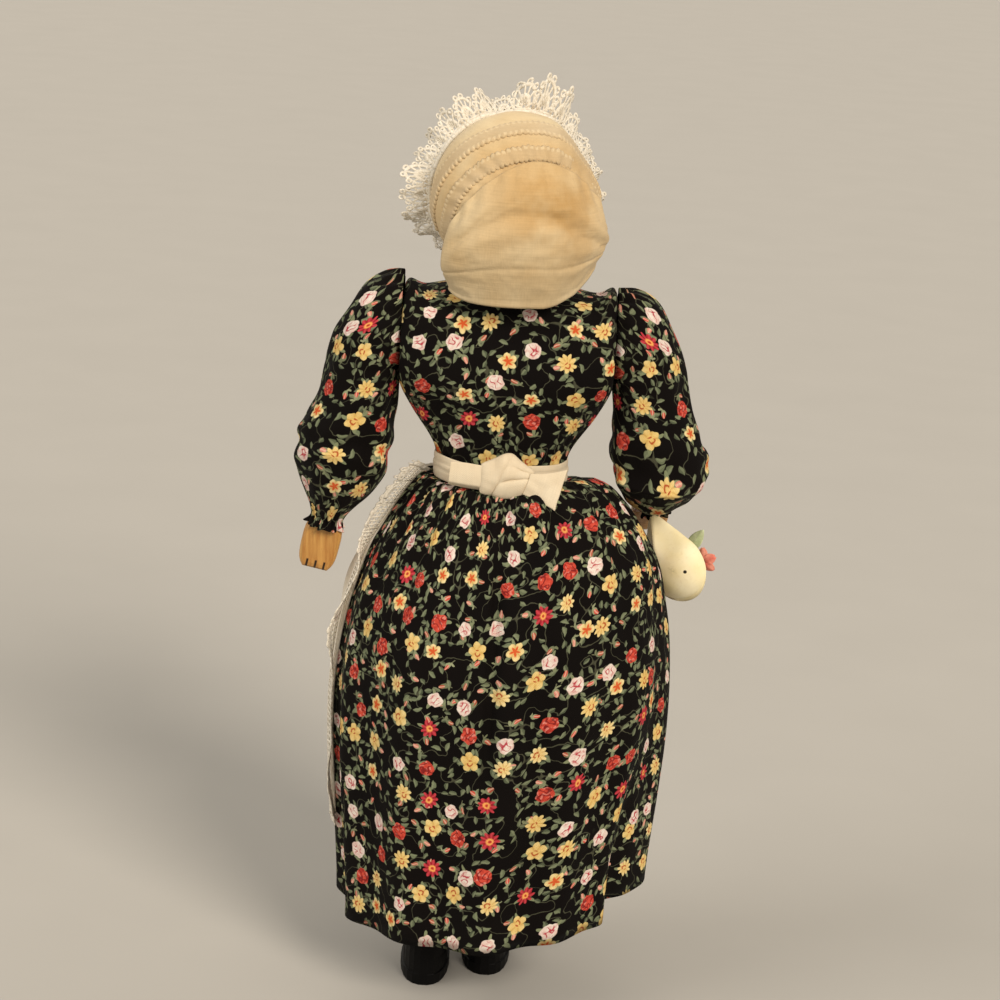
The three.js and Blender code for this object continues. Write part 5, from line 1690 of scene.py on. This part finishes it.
@dataclass
class WalnutHead:
    """The nut with its seam, furrows and bore, and the wool hair round its face."""

    stand: HeadFrame
    half: tuple[float, float, float] = (16.5, 17.5, 20.9)
    seam: float = 1.0
    wrinkle: float = 0.35
    grid: tuple[int, int] = (144, 96)
    bore_radius: float = 3.8
    bore_depth: float = 9.0
    hair_radius: float = 2.5
    strands: int = 11
    strand_steps: int = 96

    def nut_point(self, way: Vector) -> Vector:
        """Returns the nut's surface in a direction from its middle."""
        seam = self.seam * bell(way.y, 0.0, 0.1)
        groove = -0.35 * bell(way.y, 0.0, 0.02)
        around = atan2(way.y, way.x)
        swell = sin(7 * around + 3 * sin(4 * way.z)) + sin(9 * way.z + 2 * cos(3 * around))
        ridge = 0.5 - abs(rough(5.2 * way.x, 5.2 * way.y, 2.4 * way.z + 7))
        ridge += 0.5 * (0.5 - abs(rough(11 * way.x, 11 * way.y, 5.5 * way.z)))
        tip = 1.5 * ramp(-way.z, 0.9, 1.0)
        off = seam + groove + (self.wrinkle * swell + 0.75 * ridge - 0.35) * (1 - abs(way.z) ** 3) + tip
        return Vector((
            way.x * (self.half[0] + off), way.y * (self.half[1] + off),
            way.z * (self.half[2] + off - self.seam)))

    def nut(self) -> None:
        """Makes the nut, hollowed underneath for its peg."""
        bm = bmesh.new()
        bmesh.ops.create_uvsphere(bm, u_segments=self.grid[0], v_segments=self.grid[1], radius=1.0)
        for vert in bm.verts:
            spot = self.nut_point(vert.co.normalized())
            if spot.z < 0 and hypot(spot.x, spot.y) < self.bore_radius:
                spot.z = self.bore_depth - self.half[2]
            vert.co = spot
        piece = finish_mesh(bm, "walnut", self.stand.matrix())
        settle(piece, NUT_SHELL, Body.HEAD, "walnut_head")

    def strand(self, number: int) -> list[Vector]:
        """Returns the line of one lock of wool, wound loosely with the others."""
        front = -8.0 - 1.4 * self.hair_radius
        lift = sqrt(1 - (front / (self.half[1] + 1)) ** 2)
        off = self.hair_radius + 0.9
        line = []
        for i in range(self.strand_steps + 1):
            share = i / self.strand_steps
            angle = radians(lerp(-22, 202, share))
            out = Vector((cos(angle), 0.0, sin(angle)))
            middle = Vector((
                out.x * (self.half[0] * lift + off), front, out.z * (self.half[2] * lift + off)))
            wind = TURN * (number / self.strands + 2.4 * share)
            reach = (1.65 if number % 3 else 0.8) + 0.35 * rough(9 * share, number * 1.7)
            line.append(middle + reach * (out * cos(wind) + Vector((0.0, 1.0, 0.0)) * sin(wind)))
        return line

    def hair(self) -> None:
        """Makes the roll of wool."""
        bm = bmesh.new()
        for number in range(self.strands):
            tube(bm, self.strand(number), lambda t: 0.72 * min(1.0, 0.35 + 9 * t, 0.35 + 9 * (1 - t)), 7)
        close_ends(bm)
        piece = finish_mesh(bm, "wool_hair", self.stand.matrix())
        settle(piece, WOOL, Body.HEAD, "hair_roll")

    def build(self) -> None:
        """Makes the nut and the hair."""
        self.nut()
        self.hair()


@dataclass
class Bonnet:
    """The muslin bonnet: crown, two toothed tapes, lace frill and the cloth over the nape."""

    stand: HeadFrame
    half: tuple[float, float, float] = (22.0, 21.5, 22.0)
    opening: float = 8.0
    band_width: float = 5.4
    band_lean: float = 26.0
    lace_width: float = 8.8
    ruffles: int = 17
    curtain_rise: float = 12.2
    curtain_arch: float = 19.5
    curtain_drop: float = 25.0
    curtain_slant: float = 10.0
    teeth: int = 62
    cloth: float = 0.3
    lace_flat: tuple[float, float] = (167.0, 10.0)
    lace_area: float = 1400.0
    frill_reach: tuple[float, ...] = (
        2.5, 2.5, 6.5, 8.0, 8.8, 7.0, 5.0, 5.4, 7.4, 8.4, 7.0, 3.0, 9.0, 12.4, 11.0, 6.6, 5.2, 5.6, 6.0, 6.4,
        6.0, 5.4, 5.0, 4.0)

    def crown(self, u: float, v: float) -> Vector:
        """Returns a point of the crown, from its front edge to the gathers at its back."""
        angle = radians(lerp(-52, 232, u))
        y = lerp(-self.opening, self.half[1], sin(v * TURN / 4))
        ring = sqrt(max(1 - (y / self.half[1]) ** 2, 0.0))
        spot = Vector((ring * self.half[0] * cos(angle), y, ring * self.half[2] * sin(angle)))
        grow = 1 + self.relief(spot) / self.half[0]
        return Vector((spot.x * grow, y, spot.z * grow))

    def dent(self, rightwards: float, height: float) -> float:
        """Returns how far the crown has sunk in at its upper right."""
        return 2.6 * ramp(rightwards, 5, 17) * bell(height, 13, 11)

    def relief(self, spot: Vector) -> float:
        """Returns how far pleats and crumples stand out at a point of the crown's smooth form."""
        angle = atan2(spot.z, spot.x)
        back = (spot.y + self.opening) / (self.half[1] + self.opening)
        pleat = 0.3 * sin(27 * angle + 2 * sin(2 * angle)) * ramp(back, 0.38, 0.99)
        crumple = 0.35 * rough(0.12 * spot.y, 3 * cos(angle), 3 * sin(angle))
        return pleat + crumple - self.dent(-spot.x, spot.z)

    def on_crown(self, way: Vector, off: float) -> Vector:
        """Returns the crown's point in a direction from its middle, lifted off by a distance."""
        way = way.normalized()
        reach = 1 / sqrt(sum((way[i] / self.half[i]) ** 2 for i in range(3)))
        return way * (reach + off + self.relief(way * reach))

    def band(self, setback: float) -> Place:
        """Returns a tape over the crown with teeth along both its edges."""
        lean = Matrix.Rotation(-radians(self.band_lean), 3, "X")

        def place(u: float, v: float) -> Vector:
            """Returns a point of the tape."""
            angle = radians(lerp(-24, 204, u))
            tooth = abs((u * self.teeth) % 1.0 - 0.5) * 2
            y = setback + v * self.band_width + 0.55 * tooth * (ramp(v, 0.5, 0.0) - ramp(v, 0.5, 1.0))
            way = lean @ Vector((cos(angle) * 20.5, y, sin(angle) * 20.5))
            roll = (0.08 + 0.16 * (1 - tooth)) * (bell(v, 0.86, 0.08) + bell(v, 0.14, 0.08))
            return self.on_crown(way, 0.08 + 0.3 * ramp(min(v, 1 - v), 0.0, 0.1) + roll)

        return place

    def frill(self, s: float, t: float) -> Vector:
        """Returns a point of the ruffled lace round the bonnet's front edge."""
        degrees = lerp(-46, 226, s)
        angle = radians(degrees)
        shrink = sqrt(1 - (self.opening / self.half[1]) ** 2)
        reach = along([(tall,) for tall in self.frill_reach], s)[0]
        lean = sqrt(max(self.lace_width**2 - reach**2, 0.0))
        wave = t * sin(s * self.ruffles * TURN + 2 * rough(6 * s, 1.0))
        out = 0.4 + t * reach + 0.5 * wave - 0.7 * t * rough(21 * s, 4.0)
        y = -self.opening - 0.8 * t * lean - 1.0 * t + 1.5 * wave + 1.2 * t * rough(9 * s, 7.0)
        return Vector((
            cos(angle) * (self.half[0] * shrink + out), y, sin(angle) * (self.half[2] * shrink + out)))

    def curtain(self, u: float, v: float) -> Vector:
        """Returns a point of the cloth that hangs over the nape, bellied and tucked in below."""
        turn = u * 2 - 1
        rightwards = ramp(turn, -0.3, 0.6)
        spread = lerp(63, 76, rightwards) * lerp(1, lerp(1.0, 0.95, rightwards), v)
        angle = radians(90 + turn * spread)
        high = self.curtain_rise - self.curtain_arch * turn * turn
        rounding = 2.6 * max(-turn, 0.0) ** 6 + 3.0 * max(turn, 0.0) ** 4
        low = -self.curtain_drop + rounding + self.curtain_slant * ramp(turn, 0.05, 1.12)
        z = lerp(high, low, v)
        shrink = sqrt(1 - (max(z, 0.0) / self.half[2]) ** 2)
        tucked = lerp(2.0, 1.4, rightwards)
        belly = 1.4 * sin(v * pi) - tucked * ramp(v, 0.55, 1)
        gather = 0.35 * exp(-v / 0.16) * cos(34 * turn + 2 * rough(4 * turn, 1.0))
        sag = v - 0.3 - 0.16 * turn + 0.08 * cos(3 * turn)
        drape = 0.75 * bell(sag, 0.0, 0.07) - 0.5 * bell(sag, 0.14, 0.06) + 0.4 * bell(sag, 0.26, 0.08)
        crumple = 0.5 * rough(2.6 * turn, 3.2 * v, 5.0)
        crumple += 0.6 * (0.3 - abs(rough(3.4 * turn + 1.5 * v, 6.5 * v, 2.0))) * ramp(v, 0.05, 0.3)
        crumple += 0.25 * (0.3 - abs(rough(9.0 * turn, 13.0 * v, 9.0)))
        seam = -0.35 * bell(v, 0.72 + 0.03 * turn, 0.018)
        hem = 0.3 * ramp(v, 0.955, 0.985)
        inner = 1 - ramp(abs(turn), 0.72, 0.98)
        off = 1.1 + belly + gather + (drape + crumple) * inner + seam + hem - 0.9 * ramp(turn, 0.8, 1.0)
        off -= self.dent(-cos(angle) * self.half[0] * shrink, z) * (1 - ramp(v, 0.1, 0.5))
        return polar(angle, self.half[0] * shrink + off, self.half[1] * shrink + off, z)

    def sheet(
        self, name: str, node: str, grid: tuple[int, int], place: Place, flat: tuple[float, float],
        finish: Finish, held: Held, area: float | None = None,
    ) -> None:
        """Makes one muslin piece of the bonnet.

        Args:
            name: Name of the piece.
            node: CAD node that it stands for.
            grid: Faces across and down.
            place: Its surface in the head's frame.
            flat: Its flat size.
            finish: Its finish.
            held: How it is held.
            area: Its flat area in square millimetres where it isn't a rectangle.
        """
        piece = woven(name, grid, place, flat[0], self.stand.matrix(), joined=True)
        settle(thicken(piece, self.cloth, 1.0), finish, Body.HEAD, node)
        cut_flat(flat, held, area)

    def build(self) -> None:
        """Makes the bonnet's pieces."""
        self.sheet("muslin_crown", "bonnet_crown", (150, 60), self.crown, (110.0, 36.0),
                   BONNET_MUSLIN, Held.GATHERED, 3400.0)
        for where, setback, length, area in (("front", -2.2, 90.0, 480.0), ("back", 6.7, 84.0, 430.0)):
            self.sheet(f"muslin_{where}_tape", f"bonnet_{where}_band", (372, 12), self.band(setback),
                       (length, 10.0), TAPE_MUSLIN, Held.STRETCHED, area)
        self.sheet("muslin_curtain", "bonnet_curtain", (110, 70), self.curtain, (62.0, 36.0),
                   BONNET_MUSLIN, Held.HUNG)
        strip = LaceStrip(22, unit_length=7.6, width=8.4, thread=0.5, picots=6, band=0.15)
        lace = strip.build("bonnet_lace_frill", self.frill, self.stand.matrix())
        settle(lace, LACE_THREAD, Body.HEAD, "bonnet_lace")
        cut_flat(self.lace_flat, Held.GATHERED, self.lace_area)


# Hands, feet, trunk and basket


@dataclass
class Limbs:
    """Hands, shoes, legs, pegs and wires: CAD pieces that keep their shape."""

    def build(self) -> None:
        """Dresses the rigid CAD nodes."""
        repaint("neck_peg", PALE_WOOD)
        repaint("left_hand", LEFT_HAND)
        repaint("right_hand", RIGHT_HAND)
        for node in ("left_shoe", "right_shoe", "left_leg", "right_leg"):
            repaint(node, BLACK)
        for node in ("shoulder_wire", "left_upper_arm_wire", "left_forearm_wire",
                     "right_upper_arm_wire", "right_forearm_wire"):
            repaint(node, WIRE)


@dataclass
class Trunk:
    """The stuffed trunk under the dress."""

    armhole: float = 27.4
    fill: float = 0.8
    stations: tuple[tuple[float, float, float], ...] = (
        (10.8, 8.8, 126.0), (15.0, 12.2, 129.0), (15.8, 12.8, 140.0), (15.8, 12.8, 150.0),
        (22.6, 15.2, 161.0), (27.4, 16.4, 173.0), (27.4, 13.8, 184.0), (22.8, 9.8, 191.0),
    )

    def surface(self, u: float, v: float) -> Vector:
        """Returns a point of the stuffed trunk."""
        wide, deep, z = along(self.stations, v)
        angle = u * TURN
        lump = 0.25 * rough_round(angle, 3, 6 * v)
        spot = polar(angle, wide + lump, deep + lump, z)
        spot.x = max(-self.armhole, min(self.armhole, spot.x))
        return spot

    def build(self) -> None:
        """Makes the trunk."""
        bm = bmesh.new()
        lay_grid(bm, 56, 40, self.surface, 120.0, joined=True)
        close_ends(bm)
        piece = finish_mesh(bm, "stuffed_trunk")
        settle(piece, STUFFED_COTTON, Body.TORSO, "torso_core")


@dataclass
class Basket:
    """The pale shell held at the right hand, with moss, flowers and leaves."""

    radius: float = 9.6
    tip: float = 17.0
    tip_angle: float = 56.0
    depth: float = 6.5
    wall: float = 1.2
    moss_rise: float = 0.8
    moss_inset: float = 1.6
    hand_corner: float = 5.9
    elbow: tuple[float, float, float] = (-41.8, 0.0, 149.0)
    arm_bend: float = 48.0
    from_elbow: tuple[float, float, float] = (-7.6, 14.7, -29.86)
    turn: float = 32.0
    upright: float = 36.0
    cloth: float = 0.25

    def matrix(self) -> Matrix:
        """Returns the matrix from the basket's own millimetres, mouth up, to the row frame."""
        arm = Matrix.Translation(self.elbow) @ Matrix.Rotation(-radians(self.arm_bend), 4, "X")
        hung = Matrix.Translation(self.from_elbow) @ Matrix.Rotation(radians(self.upright), 4, "X")
        faced = Matrix.Rotation(-radians(self.turn), 4, "Z") @ Matrix.Rotation(TURN / 4, 4, "X")
        return IN_ROW @ arm @ hung @ faced

    def stretch(self, angle: float) -> float:
        """Returns how far the round outline is drawn out towards its tip at an angle."""
        turn = (angle - radians(self.tip_angle)) % TURN
        flank = acos(self.radius / self.tip)
        return 1 / cos(max(flank - min(turn, TURN - turn), 0.0))

    def shell(self) -> None:
        """Makes the shell, half a flattened ball drawn out to a point."""
        bm = bmesh.new()
        bmesh.ops.create_uvsphere(bm, u_segments=96, v_segments=40, radius=1.0)
        bmesh.ops.bisect_plane(bm, geom=whole(bm), plane_co=(0, 0, 0), plane_no=(0, 0, 1), clear_outer=True)
        for vert in bm.verts:
            x, y, z = vert.co
            wide = self.radius * self.stretch(atan2(y, x))
            uneven = 0.1 * rough(2.4 * x, 2.4 * y, 1.0)
            tip = radians(self.tip_angle)
            thinned = 1 - 0.55 * ramp(x * cos(tip) + y * sin(tip), 0.35, 1.0)
            vert.co = Vector((wide * x, wide * y, self.depth * thinned * z + uneven))
        piece = thicken(finish_mesh(bm, "shell_basket", self.matrix()), self.wall)
        settle(piece, SHELL_SKIN, Body.RIGHT_FOREARM, "basket_shell")

    def moss_reach(self, angle: float) -> float:
        """Returns how far the moss goes towards an angle, clear of the shell and the hand."""
        towards = cos(angle - radians(self.tip_angle))
        inside = (self.radius - self.moss_inset) * self.stretch(angle)
        return min(inside, self.hand_corner / max(towards, 0.01))

    def moss(self) -> None:
        """Makes the moss bed, a crumbled pad inside the rim."""
        def place(u: float, v: float) -> Vector:
            """Returns a point of the pad, from its middle to its edge and back underneath."""
            angle = u * TURN
            out = self.moss_reach(angle) * min(v / 0.6, 1.0, (1 - v) / 0.3)
            lump = 0.6 * rough_round(angle, 0.55 * out, 3.0)
            curl = 0.45 * abs(rough_round(angle, 1.6 * out, 8.0))
            under = ramp(v, 0.6, 0.7)
            z = self.moss_rise - 0.5 + (lump + curl) * (1 - under) - 2.0 * under
            return polar(angle, out, out, z)

        piece = woven("moss_bed", (96, 40), place, 40.0, self.matrix(), joined=True)
        settle(piece, MOSS, Body.RIGHT_FOREARM, "basket_moss")

    def on_moss(self, spot: tuple[float, float], lift: float, turn: float) -> Matrix:
        """Returns the matrix from a flower's or leaf's own millimetres to the row frame.

        Args:
            spot: Its place on the moss.
            lift: How far it lies above the moss.
            turn: Its turn in degrees.

        Returns:
            The matrix.
        """
        place = Matrix.Translation((*spot, self.moss_rise + lift))
        return self.matrix() @ (place @ Matrix.Rotation(radians(turn), 4, "Z"))

    def blossom(self, colour: str, finish: Finish, spot: tuple[float, float], turn: float) -> None:
        """Makes one flower of five cupped petals about a knotted heart.

        Args:
            colour: Its colour's name, which its piece and its CAD node bear.
            finish: Finish of its petals.
            spot: Its place on the moss.
            turn: Its turn in degrees.
        """
        bm = bmesh.new()

        def petal(u: float, v: float) -> Vector:
            """Returns a point of one cupped petal."""
            out = 0.5 + 3.1 * v
            half = 1.55 * sin(pi * min(v * 0.82 + 0.14, 1.0)) ** 0.7
            side = (u * 2 - 1) * half
            return Vector((out, side, 0.9 * v * v + 0.35 * (u * 2 - 1) ** 2 * v + 0.12 * sin(9 * u)))

        lay_grid(bm, 8, 8, petal, 3.0)
        bmesh.ops.spin(bm, geom=whole(bm), angle=TURN * 4 / 5, steps=4, axis=(0, 0, 1), cent=(0, 0, 0),
                       use_duplicate=True)
        to_row = self.on_moss(spot, 0.7, turn)
        piece = thicken(finish_mesh(bm, f"{colour}_flower", to_row), self.cloth, 0.0)
        settle(piece, finish, Body.RIGHT_FOREARM, f"basket_flower_{colour}")
        bm = bmesh.new()
        for i in range(9):
            angle, reach = i * 2.4, 0.32 * sqrt(i)
            knot = Matrix.Translation(polar(angle, reach, reach, 0.75))
            bmesh.ops.create_icosphere(bm, subdivisions=1, radius=0.34, matrix=knot)
        heart = finish_mesh(bm, f"{colour}_flower_heart", to_row)
        settle(heart, FLOWER_HEART, Body.RIGHT_FOREARM)

    def leaf(self, which: str, spot: tuple[float, float], turn: float) -> None:
        """Makes one pointed leaf with a folded midrib."""
        def place(u: float, v: float) -> Vector:
            """Returns a point of the leaf."""
            half = 2.1 * sin(pi * v) ** 0.75 * (1 - 0.25 * v)
            side = u * 2 - 1
            return Vector((side * half, 9.0 * v, 0.55 * abs(side) * sin(pi * v) + 0.8 * v * v))

        to_row = self.on_moss(spot, 0.45, turn)
        piece = thicken(woven(f"{which}_leaf", (10, 16), place, 4.0, to_row, joined=True), self.cloth, 0.0)
        settle(piece, LEAF, Body.RIGHT_FOREARM, f"basket_leaf_{which}")

    def build(self) -> None:
        """Makes the basket and what is in it."""
        self.shell()
        self.moss()
        self.blossom("red", RED_PETAL, (-7.6, 3.0), 0.0)
        self.blossom("pink", PINK_PETAL, (-3.4, -3.2), 20.0)
        self.blossom("yellow", YELLOW_PETAL, (3.4, -4.6), 40.0)
        self.leaf("upper", (-2.3, 4.2), 28.0)
        self.leaf("lower", (0.2, 1.1), -88.0)


def main() -> None:
    """Builds the doll's pieces in order."""
    logging.basicConfig(level=logging.INFO, format="%(name)s: %(message)s")
    Studio().build()
    skirt = Skirt()
    stand = HeadFrame()
    for part in (
        skirt, Bodice(), Sleeve("left", 1, bend=3.0, splay=11.0),
        Sleeve("right", -1, bend=48.0, splay=0.0, cap_reach=24.2, seam_reach=23.4, puff=13.1,
               elbow_out=14.6),
        Apron(skirt), WalnutHead(stand), Bonnet(stand), Limbs(), Trunk(), Basket(),
    ):
        part.build()


if __name__ == "__main__":
    main()
